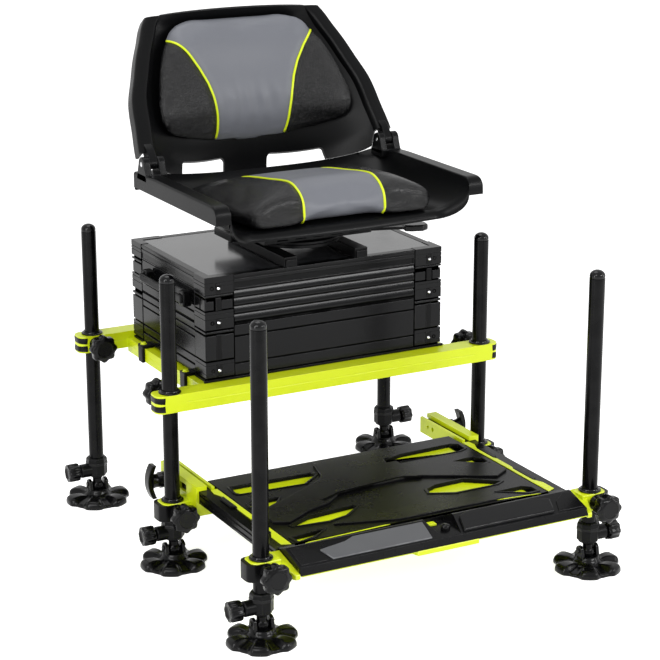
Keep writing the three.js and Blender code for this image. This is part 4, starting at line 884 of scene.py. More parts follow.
blade = lever_outline([(-9, -7), (length - 56, -7), (length - 30, -13), (length - 8, -13), (length, -6)])
piece("lever_blade", prism(blade, 494.4, 498.9), moulded, "lever", "swivel_lever", bevel=1.2, segments=3)
grip = lever_outline([(length - 40, -11), (length - 28, -15), (length - 8, -15), (length + 1.5, -7)])
piece("lever_grip", prism(grip, 491, 502), knob_black, "lever", bevel=3.2, segments=4)
piece("lever_pin", moved(post(6, 493.8, 499.2), (*pivot, 0)), bright_pin, "lever", bevel=0.4)

# Seat shell: the pan's skin over a fine grid, with the same rows and columns of form as the solid

ARM_OUT, ARM_IN, ARM_TOP, FLANGE, SKIN = 240, 214, 602, 568, 5
PAN_HALF, PAN_FLOOR, PAN_REAR, LIP_Y, PAN_CORNER_Y = 165, 546, 240, -61, -78
PAN_TABLE = [(0, 1), (0.08, 0.82), (0.17, 0.42), (0.27, 0.12), (0.4, 0), (0.7, 0), (0.86, 0.02), (1, 0.05)]
PAN_RISE, REAR_CORNER_LIFT, REAR_RIM_DROP = 36, 12, 3


def pan_floor(y):
    return PAN_FLOOR + PAN_RISE * np.maximum(eased(PAN_TABLE, (PAN_REAR - y) / (PAN_REAR - LIP_Y)), 0)


def pan_surface():
    """The pan and its arms. Across, the section is a flat floor, a bowl 1 - sqrt(1 - t^2) up to the arm,
    the arm's top and its outer face. Along, rows run from the rear rim to the front, then turn down over the lip."""
    bowl_t = np.sin(np.linspace(0, PI / 2, 15)[:-1] * 0.985)
    flat = np.linspace(0, PAN_HALF, 12)[:-1]
    rounded = arc(ARM_IN + 3, ARM_TOP - 3, 3, PI, PI / 2, 5) + arc(ARM_OUT - 4, ARM_TOP - 4, 4, PI / 2, 0, 5)
    rounded = np.array(rounded + [(ARM_OUT, 590), (ARM_OUT, 579), (ARM_OUT, FLANGE)])
    inside, edge = len(flat) + len(bowl_t), len(rounded)
    x = np.concatenate([flat, PAN_HALF + (ARM_IN - PAN_HALF) * bowl_t, rounded[:, 0]])
    t = np.concatenate([np.zeros(len(flat)), bowl_t, np.ones(edge)])
    arm_z = np.concatenate([np.full(inside, ARM_TOP - 3.0), rounded[:, 1]])
    share = [0.945, 0.958, 0.97, 0.98, 0.988, 0.995, 1.0, 1.002, 1.003, 1.002]
    drop = [0.05, 0.16, 0.3, 0.46, 0.64, 0.84, 1.0, 1.35, 1.7, 2.0]
    s, d = np.concatenate([np.linspace(0, 0.93, 44), share])[:, None], np.concatenate([np.zeros(44), drop])[:, None]
    bowl = 1 - np.sqrt(1 - t**2)
    lip = LIP_Y + 9 * (x / PAN_HALF) ** 2 * np.where(t > 0, 1 - t, 1)
    y = PAN_REAR + (lip + (PAN_CORNER_Y - lip) * t * t - PAN_REAR) * s
    rear = np.maximum(0, 1 - s / 0.27)
    floor = pan_floor(y) + REAR_CORNER_LIFT * rear * np.minimum(1, x / ARM_IN) ** 3
    rim = arm_z - REAR_RIM_DROP * rear
    top = np.where(np.arange(len(x)) < inside, floor + (rim - floor) * bowl, rim)
    face_top = PAN_FLOOR - 8 + (589 - PAN_FLOOR + 8) * bowl
    face_bottom = 533 + (573 - 533) * bowl
    z = np.minimum(top, face_top + (top - face_top) * (1 - np.minimum(d, 1) ** 2))
    z = np.where(d > 1, np.maximum(z, face_bottom) * (2 - d) + face_bottom * (d - 1), z)
    z = np.maximum(z, face_bottom)
    return mirrored_grid(np.stack([np.broadcast_to(x, z.shape), np.broadcast_to(y, z.shape), z], -1))


piece("seat_pan", thick_sheet(pan_surface(), SKIN), moulded, "seat", "seat_shell", sharp=42, bevel=0.8)

# Hinge ears on the arms, and their pins
HINGE = (0, 207, 617)
ear = [(187, 594), (227, 594), (224, 604), *arc(*HINGE[1:], 12, 0, PI, 17), (190, 604)]
for word, s in SIDES:
    closing = slab((214.5, 239.6), (234, 240), (568.4, 598.6), s)
    piece("arm_end_" + word, closing, moulded, "seat", bevel=1.8, segments=3)
    ears = [prism(ear, s * a, s * b, "x") for a, b in ((240, 228.2), (213.6, 202))]
    ears.append(slab((202, 240), (187, 227), (589, 601.6), s))
    piece("ears_" + word, joined(ears), moulded, "seat", bevel=1.5, segments=3)
    head = turned([(0, -1), (4.6, -1), (4.6, 1.0), (3.4, 2.2), (1.4, 2.6), (0, 2.6)], 32)
    for end, x, out in (("outer", 239.6, s), ("inner", 202.4, -s)):
        at = (s * x - out * 1.2, *HINGE[1:])
        piece(f"hinge_pin_{end}_{word}", facing(head, (out, 0, 0), at), bright_pin, "seat")
    rod = facing(post(3.8, 0, 36, 24), (s, 0, 0), (s * 203, *HINGE[1:]))
    piece("hinge_rod_" + word, rod, bright_pin, "seat")

# Back: drawn upright about its hinge as (across, up, forward), then leaned

LEAN = math.radians(34)
FORWARD = (0, -math.cos(LEAN), math.sin(LEAN))
BACK_HALF, BACK_HEIGHT, ARCH, BAND, FACE, DISH, FOOT_DROP = 237, 266, 10, 30, 3, 118, 8
WIDTH_TABLE = [
    (0, 1), (0.08, 1), (0.25, 0.979), (0.47, 0.945), (0.617, 0.886), (0.752, 0.831), (0.868, 0.772),
    (0.955, 0.73), (1, 0.7)
]
DISH_TABLE = [
    (0.015, 1), (0.08, 0.9), (0.155, 0.75), (0.25, 0.6), (0.36, 0.52), (0.47, 0.45), (0.617, 0.38), (0.752, 0.31),
    (0.868, 0.26), (1, 0.17)
]
RIM_TABLE = [(0, 0), (0.868, 0), (0.95, 0.24), (1, 1)]
FIRST_ROW = 0.015


def leaned(p):
    """(across, up, forward) of the upright back to its place: up runs 34 degrees back from vertical."""
    x, u, n = (p[..., k] for k in range(3))
    y = HINGE[1] + u * math.sin(LEAN) - n * math.cos(LEAN)
    return np.stack([x, y, HINGE[2] + u * math.cos(LEAN) + n * math.sin(LEAN)], -1)


def upright(p):
    """The way back: a place to (across, up, forward)."""
    y, z = p[..., 1] - HINGE[1], p[..., 2] - HINGE[2]
    return np.stack([p[..., 0], y * math.sin(LEAN) + z * math.cos(LEAN), z * math.sin(LEAN) - y * math.cos(LEAN)], -1)


def leaned_prism(outline, low, high):
    """A prism drawn across the upright back, between two depths or two places across, then leaned."""
    return leaned(np.array([*low, *high], float)), prism_faces(len(outline))


def back_half(row):
    return BACK_HALF * eased(WIDTH_TABLE, row)


def back_height(x):
    return BACK_HEIGHT - ARCH * (x / BACK_HALF) ** 2


def dish(x, row):
    """Depth of the dished skin: a parabola across it, shallower towards the top, coming forward at the rim."""
    across = np.minimum(1, np.abs(x) / (back_half(row) - BAND))
    level = -(10 + DISH * eased(DISH_TABLE, row) * (1 - across**2))
    return level + (FACE - level) * between(RIM_TABLE, row)


def back_surface():
    """The band and the dish in one grid, from the middle out: dish columns, the step up to the band,
    its face, and the flange that turns back round the edge."""
    inside = np.linspace(0, 1, 26)[:-1]
    band = [
        (0, -10), (0.8, -5.5), (2.2, -1.2), (4.6, 1.6), (7.5, FACE), (12, FACE + 0.3), (20, FACE), (25, 2.6), (28, 1.4),
        (29.6, -0.8), (30, -4), (30, -10), (30, -16), (30, -23)
    ]
    out, level = np.array(band, float).T
    share = [np.linspace(FIRST_ROW, 0.25, 14), np.linspace(0.25, 0.96, 36)[1:], [0.972, 0.984, 0.993, 1.0]]
    share = np.concatenate(share)[:, None]
    start = 20 / BACK_HEIGHT
    raised = start + (share - FIRST_ROW) * ((1 - start) / (1 - FIRST_ROW))
    dish_row = np.broadcast_to(share, (len(share), len(inside)))
    band_row = np.broadcast_to(raised, (len(share), len(band)))
    x_dish = (back_half(dish_row) - BAND) * inside
    x = np.concatenate([x_dish, back_half(band_row) - BAND + out], 1)
    u = back_height(x) * np.concatenate([dish_row, band_row], 1)
    foot = np.interp(inside, [0.64, 0.84, 0.95, 1], [0, 1, 1, 0])
    u[:, : len(inside)] -= FOOT_DROP * foot * np.clip(1 - (dish_row - FIRST_ROW) / 0.065, 0, 1)
    step = level + (FACE - level) * between(RIM_TABLE, band_row) * (out < 5)
    return mirrored_grid(np.stack([x, u, np.concatenate([dish(x_dish, dish_row), step], 1)], -1))


notch = [(-13, 41), *arc(28, 48, 7, -PI / 2, 0, 6), *arc(18, 128, 7, 0, PI / 2, 6), (-13, 142)]
notches = [leaned_prism(notch, *([(s * x, u, n) for u, x in notch] for n in (0, -150))) for s in BOTH]
back_shape = thick_sheet(leaned(back_surface()), -5)
piece("back_shell_skin", back_shape, moulded, "back", "back_shell", sharp=42, cutters=notches, bevel=0.8)
# The tongue's outline is drawn as (back, up), so its forward is the other way
tongue = arc(0, 0, 9.6, PI, 2 * PI, 13) + [(10, 20), (6, 34), (-3, 34), (-9.6, 20)]
for word, s in SIDES:
    shape = leaned_prism(tongue, *([(s * x, u, -b) for b, u in tongue] for x in (213.9, 227.9)))
    piece("tongue_" + word, shape, moulded, "back", bevel=1.4, segments=3)

# Upholstery


def swell(obj, cap, hold):
    """Remesh a pad and let the cloth solver blow it up a little, with each point's travel capped.
    Points where hold is true stay where they are."""
    modify(obj, "REMESH", mode="VOXEL", voxel_size=0.005)
    rest = read(obj.data.vertices, "co")
    scene = bpy.context.scene
    held = obj.vertex_groups.new(name="held")
    held.add(np.nonzero(hold(rest / MM - LEG_LINE))[0].tolist(), 1.0, "REPLACE")
    cloth = obj.modifiers.new("cloth", "CLOTH")
    stiffness = dict(tension_stiffness=14, compression_stiffness=14, shear_stiffness=6, bending_stiffness=1.2)
    air = dict(use_pressure=True, uniform_pressure_force=4.0, vertex_group_mass="held")
    for key, value in dict(quality=5, mass=0.25, **stiffness, **air).items():
        setattr(cloth.settings, key, value)
    cloth.settings.effector_weights.gravity = 0
    cloth.collision_settings.use_collision = False
    cloth.point_cache.frame_start, cloth.point_cache.frame_end = 1, 20
    for step in range(1, 21):
        scene.frame_set(step)
    mesh = bpy.data.meshes.new_from_object(obj.evaluated_get(bpy.context.evaluated_depsgraph_get()))
    travel = read(mesh.vertices, "co") - rest
    bpy.data.meshes.remove(mesh)
    travel *= np.minimum(1, cap * MM / np.maximum(np.linalg.norm(travel, axis=1, keepdims=True), 1e-9))
    obj.modifiers.clear()
    obj.vertex_groups.clear()
    obj.data.vertices.foreach_set("co", (rest + travel).ravel())
    obj.data.update()
    scene.frame_set(1)


def relax(mesh, rounds):
    """Each point moves half way to the mean of its neighbours, some rounds in a row."""
    co = read(mesh.vertices, "co")
    edges = read(mesh.edges, "vertices", 2, int)
    a, b = edges.T
    degree = np.bincount(edges.ravel(), minlength=len(co))[:, None]
    for _ in range(rounds):
        total = np.zeros_like(co)
        np.add.at(total, a, co[b])
        np.add.at(total, b, co[a])
        co = (co + total / degree) / 2
    mesh.vertices.foreach_set("co", co.ravel())


def press(mesh, way, depth, width, distance):
    """Press channels or folds into a pad: points move in by depth exp(-(distance / width)^2), times a weight."""
    co = read(mesh.vertices, "co")
    away, weight = distance(co / MM - LEG_LINE)
    push = depth * np.exp(-((away / width) ** 2)) * weight
    mesh.vertices.foreach_set("co", (co - push[:, None] * np.array(way) * MM).ravel())


def upholster(name, shape, body, node, cap, hold, rounds, presses, inside):
    """A pad: blown up, relaxed, its seams and folds pressed in, smoothed, and painted with the distance in from
    the seam, in millimetres."""
    pad = new_object(name, shape)
    swell(pad, cap, hold)
    relax(pad.data, rounds)
    for each in presses:
        press(pad.data, *each)
    modify(pad, "SUBSURF", levels=1, render_levels=1)
    shade(pad.data, 180)
    store(pad.data, "panel", inside(read(pad.data.vertices, "co") / MM - LEG_LINE))
    pad.data.materials.append(vinyl)
    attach(pad, body)
    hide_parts(node)
    return pad


def pad_rings(half_width, under, top):
    """Closed sections of a pad, one per row: across it the skin goes along the underside, out round the side
    and over the crown, whose height falls as 1 - |s|^2.6."""
    s = np.linspace(-1, 1, 41)
    side = np.sqrt(np.maximum(0, 1 - np.abs(s) ** 7))
    upper = under[:, None] + (top - under)[:, None] * (1 - 0.22 * np.abs(s) ** 2.6) * (0.42 + 0.58 * side)
    lower_s = np.linspace(0.93, -0.93, 31)
    low = np.broadcast_to(under[:, None], (len(under), len(lower_s)))
    return half_width[:, None] * np.concatenate([s, lower_s]), np.concatenate([upper, low], 1)


def capped(points):
    """The ends of a stack of closed sections drawn together to their middles."""
    first, last = (np.broadcast_to(points[k].mean(0), points[k].shape)[None] for k in (0, -1))
    return np.concatenate([first, points, last])


def drape(obj, start, direction):
    """Points of a path laid on an object: each is cast from start along direction and lifted off the skin."""
    laid = []
    bpy.context.view_layer.update()
    inverse = obj.matrix_world.inverted()
    for point, d in zip(start, direction):
        hit, location, normal, _ = obj.ray_cast(inverse @ Vector((np.array(point) + LEG_LINE) * MM), Vector(d))
        if hit:
            laid.append(np.array(location) / MM - LEG_LINE + np.array(normal) * 0.4)
    return np.array(laid)


def piping(name, path, body):
    """A cord along a path, its points first averaged with their neighbours."""
    for _ in range(3):
        path[1:-1] = (path[:-2] + 2 * path[1:-1] + path[2:]) / 4
    piece(name, tube(path, 2.1), piping_lime, body, sharp=180)


SEAT_PIPING = 73
SEAT_FRONT, SEAT_REAR = -58, 216
SEAT_WIDTH = [
    (0, 0.88), (0.025, 0.93), (0.06, 0.955), (0.12, 0.97), (0.25, 0.985), (0.45, 1), (0.75, 0.99), (0.9, 0.96),
    (0.97, 0.93), (1, 0.88)
]
SEAT_TOP = [
    (0, 0.55), (0.025, 0.83), (0.06, 0.955), (0.12, 1), (0.25, 0.93), (0.45, 0.7), (0.75, 0.35), (0.9, 0.08),
    (0.97, -0.1), (1, -0.25)
]


def seat_pad_shape():
    """The seat pad, a little slimmer than its finished form: sections along its depth,
    the front one low and full, with rounded ends added as shrinking rows."""
    share = np.concatenate([[0, 0.012, 0.03], np.linspace(0.055, 0.94, 40), [0.965, 0.985, 1]])
    y = SEAT_FRONT + 2 + (SEAT_REAR - SEAT_FRONT - 4) * share
    under = pan_floor(y) + 2.2
    under[0] += 12
    top = 578 + (612 - 578) * eased(SEAT_TOP, share) - 2.5
    x, z = pad_rings(180 * eased(SEAT_WIDTH, share) - 3, under, top)
    # Between its seams the front of the pad is set back, and its foot is a little higher
    middle = np.clip(1 - share / 0.15, 0, 1)[:, None] / (1 + (np.abs(x) / 68) ** 14)
    z += middle * 3 * (1 - (z - under[:, None]) / np.maximum(top - under, 1)[:, None])
    return grid(capped(np.stack([x, y[:, None] + 19 * middle, z], -1)), close_columns=True)


def seat_seam(p):
    """Distance across from the two seams, which run front to back and down the front face."""
    return np.abs(np.abs(p[:, 0]) - SEAT_PIPING), np.clip((p[:, 2] - 556) / 12, 0, 1)


seat_pad = upholster(
    "seat_pad", seat_pad_shape(), "seat", "seat_cushion", cap=6, hold=lambda p: p[:, 2] < pan_floor(p[:, 1]) + 5,
    rounds=16, presses=[((0, 0, 1), 3.0, 6.0, seat_seam)], inside=lambda p: SEAT_PIPING - np.abs(p[:, 0]),
)
for word, s in SIDES:
    over = [(s * SEAT_PIPING, y, 660) for y in np.linspace(212, -52, 80)]
    down = [(s * SEAT_PIPING, -120, z) for z in np.linspace(600, 553, 14)]
    path = drape(seat_pad, over + down, [(0, 0, -1)] * len(over) + [(0, 1, 0)] * len(down))
    apart = np.concatenate([[True], np.linalg.norm(np.diff(path, axis=0), axis=1) > 0.8])
    piping("seat_piping_" + word, path[apart], "seat")

# The back pad follows the dish, thickest in the middle of its height
PAD_WIDTH = [
    (0, 0.88), (0.04, 0.965), (0.1, 0.995), (0.2, 1), (0.35, 0.97), (0.5, 0.925), (0.66, 0.86), (0.8, 0.775),
    (0.92, 0.67), (0.97, 0.56), (1, 0.42)
]
PAD_SWELL = [
    (0, 0.35), (0.04, 0.7), (0.1, 0.9), (0.21, 1), (0.5, 1), (0.82, 0.95), (0.92, 0.8), (0.97, 0.62), (1, 0.35)
]
PAD_LOW, PAD_HIGH, PAD_HALF, PAD_THICK = 54, 258, 186, 46
PAD_SEAM = [(54, 65), (85, 69), (110, 74), (134, 81), (160, 93), (185, 109), (205, 126), (224, 144), (250, 170)]


def back_pad_shape():
    """Sections of the back pad up its height: the underside lies on the dish, the crown stands off it."""
    share = np.concatenate([[0, 0.012, 0.03], np.linspace(0.06, 0.94, 40), [0.965, 0.985, 1]])
    u = PAD_LOW + 2 + (PAD_HIGH - PAD_LOW - 4) * share
    half = PAD_HALF * eased(PAD_WIDTH, (u - PAD_LOW) / (PAD_HIGH - PAD_LOW)) - 3
    x, n = pad_rings(half, np.zeros(len(u)), (PAD_THICK - 2) * eased(PAD_SWELL, share))
    rows = np.broadcast_to(u[:, None], x.shape)
    return grid(leaned(capped(np.stack([x, rows, n + dish(x, rows / back_height(x)) + 3.0], -1))), close_columns=True)


def on_back(p):
    """For places on the pad: across, up, and the height of the skin over the dish."""
    x, u, n = upright(p).T
    return x, u, n - dish(x, u / back_height(x))


def back_seam(p):
    """Distance across from the seams, which run from near the top corners to near the middle of the foot."""
    x, u, over = on_back(p)
    return np.abs(np.abs(x) - between(PAD_SEAM, u)), np.clip((over - 12) / 10, 0, 1)


def pulls(p):
    """Wrinkles in the lower middle of the pad: soft upright folds that fade out upwards and to the sides."""
    x, u, over = on_back(p)
    fade = np.clip((over - 12) / 10, 0, 1) * np.exp(-(((u - 92) / 36) ** 2)) * np.exp(-((x / 52) ** 4))
    return np.zeros(len(p)), fade * (0.5 + 0.5 * np.sin(x / 4.4 + 0.9 * np.sin(u / 19) + 0.6))


back_pad = upholster(
    "back_pad", back_pad_shape(), "back", "back_cushion", cap=5, hold=lambda p: on_back(p)[2] < 6, rounds=6,
    presses=[(FORWARD, 3.5, 7.0, back_seam), (FORWARD, 3.4, 1.0, pulls)],
    inside=lambda p: between(PAD_SEAM, upright(p)[:, 1]) - np.abs(p[:, 0]),
)
for word, s in SIDES:
    starts = [leaned(np.array([s * between(PAD_SEAM, u), u, 60.0])) for u in np.linspace(56, 226, 86)]
    piping("back_piping_" + word, drape(back_pad, starts, [tuple(-np.array(FORWARD))] * len(starts)), "back")

# Footplate brackets

SLIDE_Z = (112.2, 132.8)
for word, s in SIDES:
    side_view = [(-41, 91), (22, 91), (36, 108.5), (100, 108.5), (100, 141), (-41, 141)]
    cuts = [
        slab((238.7, 260.3), (-43, 102), (111.7, 133.3), s),
        slab((231, 246.5), (-43, 102), (137, 143), s),
        slab((238.2, 246.5), (-43, 102), (131, 143), s),
        slab((259, 267), (-1, 25), (118.7, 132), s),
    ]
    # Holes in the bracket's two faces: radius, then depth and height along the hole, then place
    holes = ((4.2, -10, 10, 264, 88, 122.5), (4.6, -10, 10, 264, 70, 120), (3.8, -3, 8, 233, 58, 125))
    holes += ((3.0, -3, 8, 233, 74, 125),)
    cuts += [facing(post(r, low, high), (s, 0, 0), (s * x, y, z)) for r, low, high, x, y, z in holes]
    shape = prism(side_view, s * 233, s * 265, "x")
    piece("bracket_body_" + word, shape, lime_coat, "carrier", "bracket_" + word, bevel=1.6, segments=3, cutters=cuts)
    leg_clamp("bracket_arm_", "bracket", word, s, 264.5, LEG_X, 0, 81.5, 2.5, "carrier")

    # The T-shaped screw is a crescent on a ribbed hub
    t = np.linspace(-1, 1, 33)
    outer = [(304 - 8 * v * v, 120 + 29 * v) for v in t]
    inner = [(295.5 - 8.5 * v * v + 1.5 * abs(v) ** 3, 120 + 28.4 * v) for v in t[::-1]]
    wing, screw = prism(flip(outer + inner, s), 61.5, 78.5, "y"), "t_screw_" + word
    piece("t_wing_" + word, wing, knob_black, screw, "t_knob_" + word, bevel=2.6, segments=4)
    hub = [
        (0, 0, 0), (12.6, 0, 0), (13.6, 1.5, 0.5), (13.6, 15, 0.5), (11.4, 18, 0.3), (11.6, 25, 0), (13.4, 30, 0),
        (0, 31, 0)
    ]
    piece("t_hub_" + word, facing(turned(hub, 72, 9, 0.12), (s, 0, 0), (s * 266, 70, 120)), knob_black, screw, sharp=50)

# Slide rails: a bar with a groove down each face
for word, s in SIDES:
    cuts = [slab((258, 262), (-314, 97), (z, z + 3), s) for z in (116.5, 125.5)]
    cuts.append(slab((242.5, 256), (92, 97), (115.5, 129.5), s))
    bar = slab((239.2, 259.8), (-311.4, 95), SLIDE_Z, s)
    piece("slide_bar_" + word, bar, anodised, "footplate", "slide_rail_" + word, bevel=1.2, segments=3, cutters=cuts)

# Footplate frame

members = [slab((-232.5, 232.5), (-29, -4), (110, 128)), slab((-232.5, 232.5), (-313, -4), (125, 128))]
members += slabs((205, 232.5), (-313, -4), (110, 128))
beam = slab((-269, 269), (-348, -312), (103.5, 123))
piece("front_beam", beam, lime_coat, "footplate", "footplate_frame", bevel=1.6, segments=3)
piece("deck_tray", joined(members), lime_coat, "footplate", bevel=0.9)
for word, s in SIDES:
    leg_clamp("front_clamp_body_", "front", word, s, 268, FRONT_LEG_X, FRONT_LEG_Y, 103.5, 3.5, "footplate")

# Deck: a mat with slots, a crossed band standing up from it, and a lip of bevelled panels

DECK_HALF, DECK_REAR, DECK_FRONT, DECK_TOP = 228, -4, -316, 134
SLOTS = [
    [(-209, -49), (-213, -78), (-208, -85), (-97, -92), (-59, -62), (-66, -54)],
    [(69, -57), (109, -46), (207, -42), (219, -49), (217, -73), (201, -79), (64, -76)],
    [(161, -119), (191, -115), (209, -115), (218, -126), (217, -145), (205, -148)],
    [(-215, -128), (-160, -126), (-176, -146), (-196, -157), (-219, -144)],
    [(64, -207), (86, -197), (138, -195), (187, -233), (171, -241), (97, -241), (59, -224)],
    [(-198, -240), (-157, -220), (-74, -212), (-72, -220), (-104, -244), (-137, -252), (-195, -247)],
    [(157, -269), (203, -268), (215, -279), (215, -296), (199, -296)],
    [(-219, -284), (-185, -281), (-159, -278), (-190, -297), (-217, -304)],
]
DECK_BAND = [
    (-46, -24), (80, -24), (83, -92), (118, -92), (222, -164), (222, -196), (192, -215), (84, -155), (62, -152),
    (-66, -158), (-105, -190), (-150, -206), (-196, -234), (-219, -222), (-219, -176), (-196, -163), (-76, -97),
    (-60, -79)
]
DECK_STEP = [(-40, -262), (44, -250), (58, -262), (150, -290), (150, -300), (-40, -300), (-140, -270), (-130, -262)]
DECK_GROOVE = [
    (-112, -176), (-70, -157), (44, -144), (60, -146), (84, -158), (78, -161), (44, -149), (-68, -163), (-108, -182)
]


def grown(outline, by):
    """An outline with each point moved out from its middle by a distance."""
    o = np.array(outline, float)
    away = o - o.mean(0)
    return o + by * away / np.linalg.norm(away, axis=1, keepdims=True)


def on_deck(name, outline, low, high, look, bevel, segments=2, cutters=()):
    """A flat piece from a little below the deck's top to above it."""
    shape = prism(outline, DECK_TOP - low, DECK_TOP + high)
    piece(name, shape, look, "footplate", bevel=bevel, segments=segments, cutters=cutters)


holes = [prism(slot, 122, 140) for slot in SLOTS]
mat = slab((-DECK_HALF, DECK_HALF), (DECK_FRONT, DECK_REAR), (128.3, DECK_TOP))
piece("deck_mat", mat, deck_black, "footplate", "footplate_deck", bevel=0.9, cutters=holes)
for k, (slot, hole) in enumerate(zip(SLOTS, holes)):
    on_deck(f"slot_edge_{k}", grown(slot, 5.5), 0.6, 1.3, deck_black, 0.7, cutters=[hole])
on_deck("deck_band", DECK_BAND, 0.5, 3.8, deck_black, 1.1, 3, holes)
on_deck("deck_step", DECK_STEP, 0.5, 2.6, deck_black, 0.9, 3, holes)
# The groove is a raised near-black strip: painted shade along the deck's dark groove line.
on_deck("deck_groove", DECK_GROOVE, 0.5, 4.1, painted_shade_black, 0.5)
for k, (x0, y0, x1, y1) in enumerate(((-212, -314, -62, -309), (-56, -277, 214, -309))):
    stripe = [(x0, y0), (x1, y1), (x1 - 8, y1 + 2.2), (x0 + 8, y0 + 2.2)]
    on_deck(f"deck_stripe_{k}", stripe, 0.4, 0.7, piping_lime, 0.3)

# Lime flanges over the slide rails, with dark pads between their teeth
TEETH = [
    (230.5, -46), (242, -46), (244, -62), (236.5, -82), (236.5, -132), (240, -140), (240, -186), (236.5, -194),
    (236.5, -250), (245, -268), (245, -300), (230.5, -306)
]
for word, s in SIDES:
    on_deck("side_flange_" + word, flip(TEETH, s), 1, 0.6, lime_coat, 0.6)
    for k, (y0, y1) in enumerate(((-134, -82), (-252, -192))):
        pad = [(237.2, y1), (246, y1 - 7), (246, y0 + 7), (237.2, y0)]
        on_deck(f"side_pad_{k}_{word}", flip(pad, s), 1.1, 1.2, moulded, 0.7)

RIDGE_Y, RIDGE_Z = -332, 140
LIP_PROFILE = [
    (-306, 128.3), (-306, DECK_TOP), (-316, DECK_TOP), (-327, RIDGE_Z), (RIDGE_Y, RIDGE_Z), (-378, 126.5),
    (-382.5, 115), (-378, 115), (-374, 123.3), (-313.3, 123.3), (-313.3, 128.3)
]


def slope(y):
    """Height of the lip's front face, which falls 14 in 46 from its ridge."""
    return RIDGE_Z + (y - RIDGE_Y) * 14 / 46


def lip_pad(name, plan, raised, look, bevel):
    """A bevelled pad whose top lies parallel to the front face of the lip."""
    on_slope = np.array([(x, y, slope(y)) for x, y in plan])
    shape = np.concatenate([on_slope - (0, 0, 1), on_slope + (0, 0, raised)]), prism_faces(len(plan))
    piece(name, shape, look, "footplate", bevel=bevel, segments=3)


hollow = prism([(-15, -317), (-16, -330), (-9, -386), (22, -386), (36, -330), (28, -317)], 127, 142)
cuts = [*slabs((238.6, 256), (-314, -304), (110, 133.4)), hollow]
lip = prism(LIP_PROFILE, -254, 254, "x")
piece("lip", lip, deck_black, "footplate", bevel=1.3, segments=3, cutters=cuts)
piece("lip_floor", slab((-13, 8), (-330, -318), (126.6, 129.6)), piping_lime, "footplate", bevel=0.5)
stud = turned([(0, 0), (6.4, 0), (7.4, 1), (7.4, 8), (6.2, 10), (3, 11), (0, 11)], 32)
piece("lip_stud", moved(stud, (10, -352, 125.5)), knob_black, "footplate", sharp=50)

# Lime edges of the beam show under the lip and round its ends
tongue = [(-66, -352), (60, -352), (52, -383.5), (-56, -383.5)]
piece("beam_tongue", prism(tongue, 107.6, 115.4), lime_coat, "footplate", bevel=1.2, segments=3)
piece("beam_edge", slab((-252, 252), (-381, -346), (112.6, 114.8)), lime_coat, "footplate", bevel=0.6)
for word, s in SIDES:
    plan = flip([(254.3, -313), (276, -313), (276, -346), (262, -382), (254.3, -382)], s)
    low, high = (106, 106, 106, 110, 110), np.minimum(132, slope(plan[:, 1]) - 7)
    wing = np.concatenate([np.column_stack([plan, level]) for level in (low, high)]), prism_faces(len(plan))
    piece("lip_wing_" + word, wing, lime_coat, "footplate", bevel=1.4, segments=3)

left_pad = [(-206, -350), (-160, -343), (-143, -336), (-22, -336), (-26, -374), (-196, -374)]
right_pad = [(40, -342), (60, -336), (165, -336), (205, -346), (196, -374), (30, -374)]
end_pad = [(214, -350), (204, -374), (250, -374), (250, -337), (238, -334)]
lip_pad("lip_pad_left", left_pad, 2.2, deck_pad, 1.1)
lip_pad("lip_pad_right", right_pad, 5.0, box_panel, 2.0)
for word, s in SIDES:
    lip_pad("lip_end_pad_" + word, flip(end_pad, s), 1.6, deck_black, 0.9)

# Camera: at the photograph's place, for a square frame

FOCAL_PIXELS, FRAME_PIXELS, SENSOR = 2045.44, 660, 36
camera_data = bpy.data.cameras.new("camera")
camera_data.sensor_width = SENSOR
camera_data.lens = FOCAL_PIXELS / FRAME_PIXELS * SENSOR
camera_data.clip_end = 50
camera = bpy.data.objects.new("camera", camera_data)
bpy.context.collection.objects.link(camera)
yaw, pitch, roll = (math.radians(v) for v in (-28.18, 16.5, -0.07))
behind = np.array([math.sin(yaw) * math.cos(pitch), -math.cos(yaw) * math.cos(pitch), math.sin(pitch)])
right = np.array([math.cos(yaw), math.sin(yaw), 0])
up = np.cross(behind, right)
c, s = math.cos(roll), math.sin(roll)
right, up = c * right + s * up, -s * right + c * up
place = (np.array([-1519.01, -2833.65, 1307.24]) + LEG_LINE) * MM
camera.matrix_world = Matrix([[*axes] for axes in zip(right, up, behind, place)] + [[0, 0, 0, 1]])
bpy.context.scene.camera = camera

# Floor, world and lamps. SEEN is 1 for what the camera sees directly, in a reflection or through glass, else 0.

SEEN = {"path": ("LightPath", {}, {}), "near": maths("MAXIMUM"), "seen": maths("MAXIMUM")}
SEEN_JOINS = """
path.Is Camera Ray > near.0
path.Is Glossy Ray > near.1
near.0 > seen.0
path.Is Transmission Ray > seen.1
"""


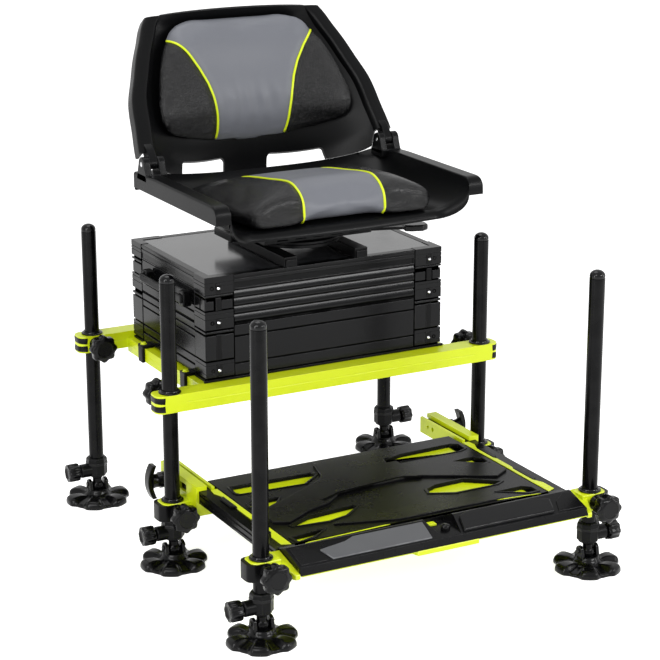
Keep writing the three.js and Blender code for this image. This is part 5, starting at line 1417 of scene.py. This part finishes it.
def stage_floor():
    """A wide pale floor. To the camera and in reflections it is lifted to white, and it keeps the shadow."""
    x, y = np.meshgrid(*[np.linspace(-14, 14, 3)] * 2)
    points, faces = grid(np.stack([x, y, np.full_like(x, -0.0006)], -1))
    mesh = bpy.data.meshes.new("floor")
    mesh.from_pydata(points.tolist(), [], faces)
    floor = bpy.data.objects.new("floor", mesh)
    bpy.context.collection.objects.link(floor)
    material = bpy.data.materials.new("floor_white")
    material.use_nodes = True
    tree = material.node_tree
    tree.nodes.clear()
    nodes = {
        **SEEN,
        "lift": maths("MULTIPLY", {"1": 0.82}),
        "diffuse": ("BsdfDiffuse", {}, {"Color": (0.8, 0.8, 0.8, 1)}),
        "glow": ("Emission", {}, {}),
        "add": ("AddShader", {}, {}),
        "out": ("OutputMaterial", {}, {}),
    }
    joins = """
    seen.0 > lift.0
    lift.0 > glow.Strength
    diffuse.0 > add.0
    glow.0 > add.1
    add.0 > out.Surface
    """
    wire(tree, nodes, SEEN_JOINS + joins.strip())
    mesh.materials.append(material)


stage_floor()
world = bpy.data.worlds.new("studio")
bpy.context.scene.world = world
world.use_nodes = True
background = world.node_tree.nodes["Background"]
background.inputs["Color"].default_value = (1, 1, 1, 1)
nodes = {**SEEN, "level": ("MapRange", {}, {"To Min": 0.5, "To Max": 1.0})}
joins = SEEN_JOINS + "seen.0 > level.Value\nlevel.0 > background.Strength"
wire(world.node_tree, nodes, joins, background=background)


def lamp(name, place, aim_height, size, energy):
    """A rectangle of light that faces the object's axis at a height."""
    light = bpy.data.lights.new(name, "AREA")
    light.shape = "RECTANGLE"
    light.size, light.size_y = size
    light.energy = energy
    obj = bpy.data.objects.new(name, light)
    bpy.context.collection.objects.link(obj)
    obj.location = place
    obj.rotation_euler = (Vector((0, 0, aim_height)) - Vector(place)).to_track_quat("-Z", "Y").to_euler()


lamp("key", (-2.4, -2.2, 2.8), 0.4, (1.4, 1.4), 40)
lamp("ridge", (1.35, -2.5, 1.5), 0.4, (1.0, 0.5), 34)
lamp("top", (0, 0.6, 3.2), 0.4, (1.6, 1.6), 24)
lamp("strip_left", (-2.2, -0.9, 1.1), 0.5, (0.2, 2.0), 22)
lamp("strip_right", (2.4, -1.6, 1.2), 0.5, (0.2, 2.0), 16)

bpy.context.scene.view_settings.view_transform = "Standard"

bpy.context.view_layer.update()
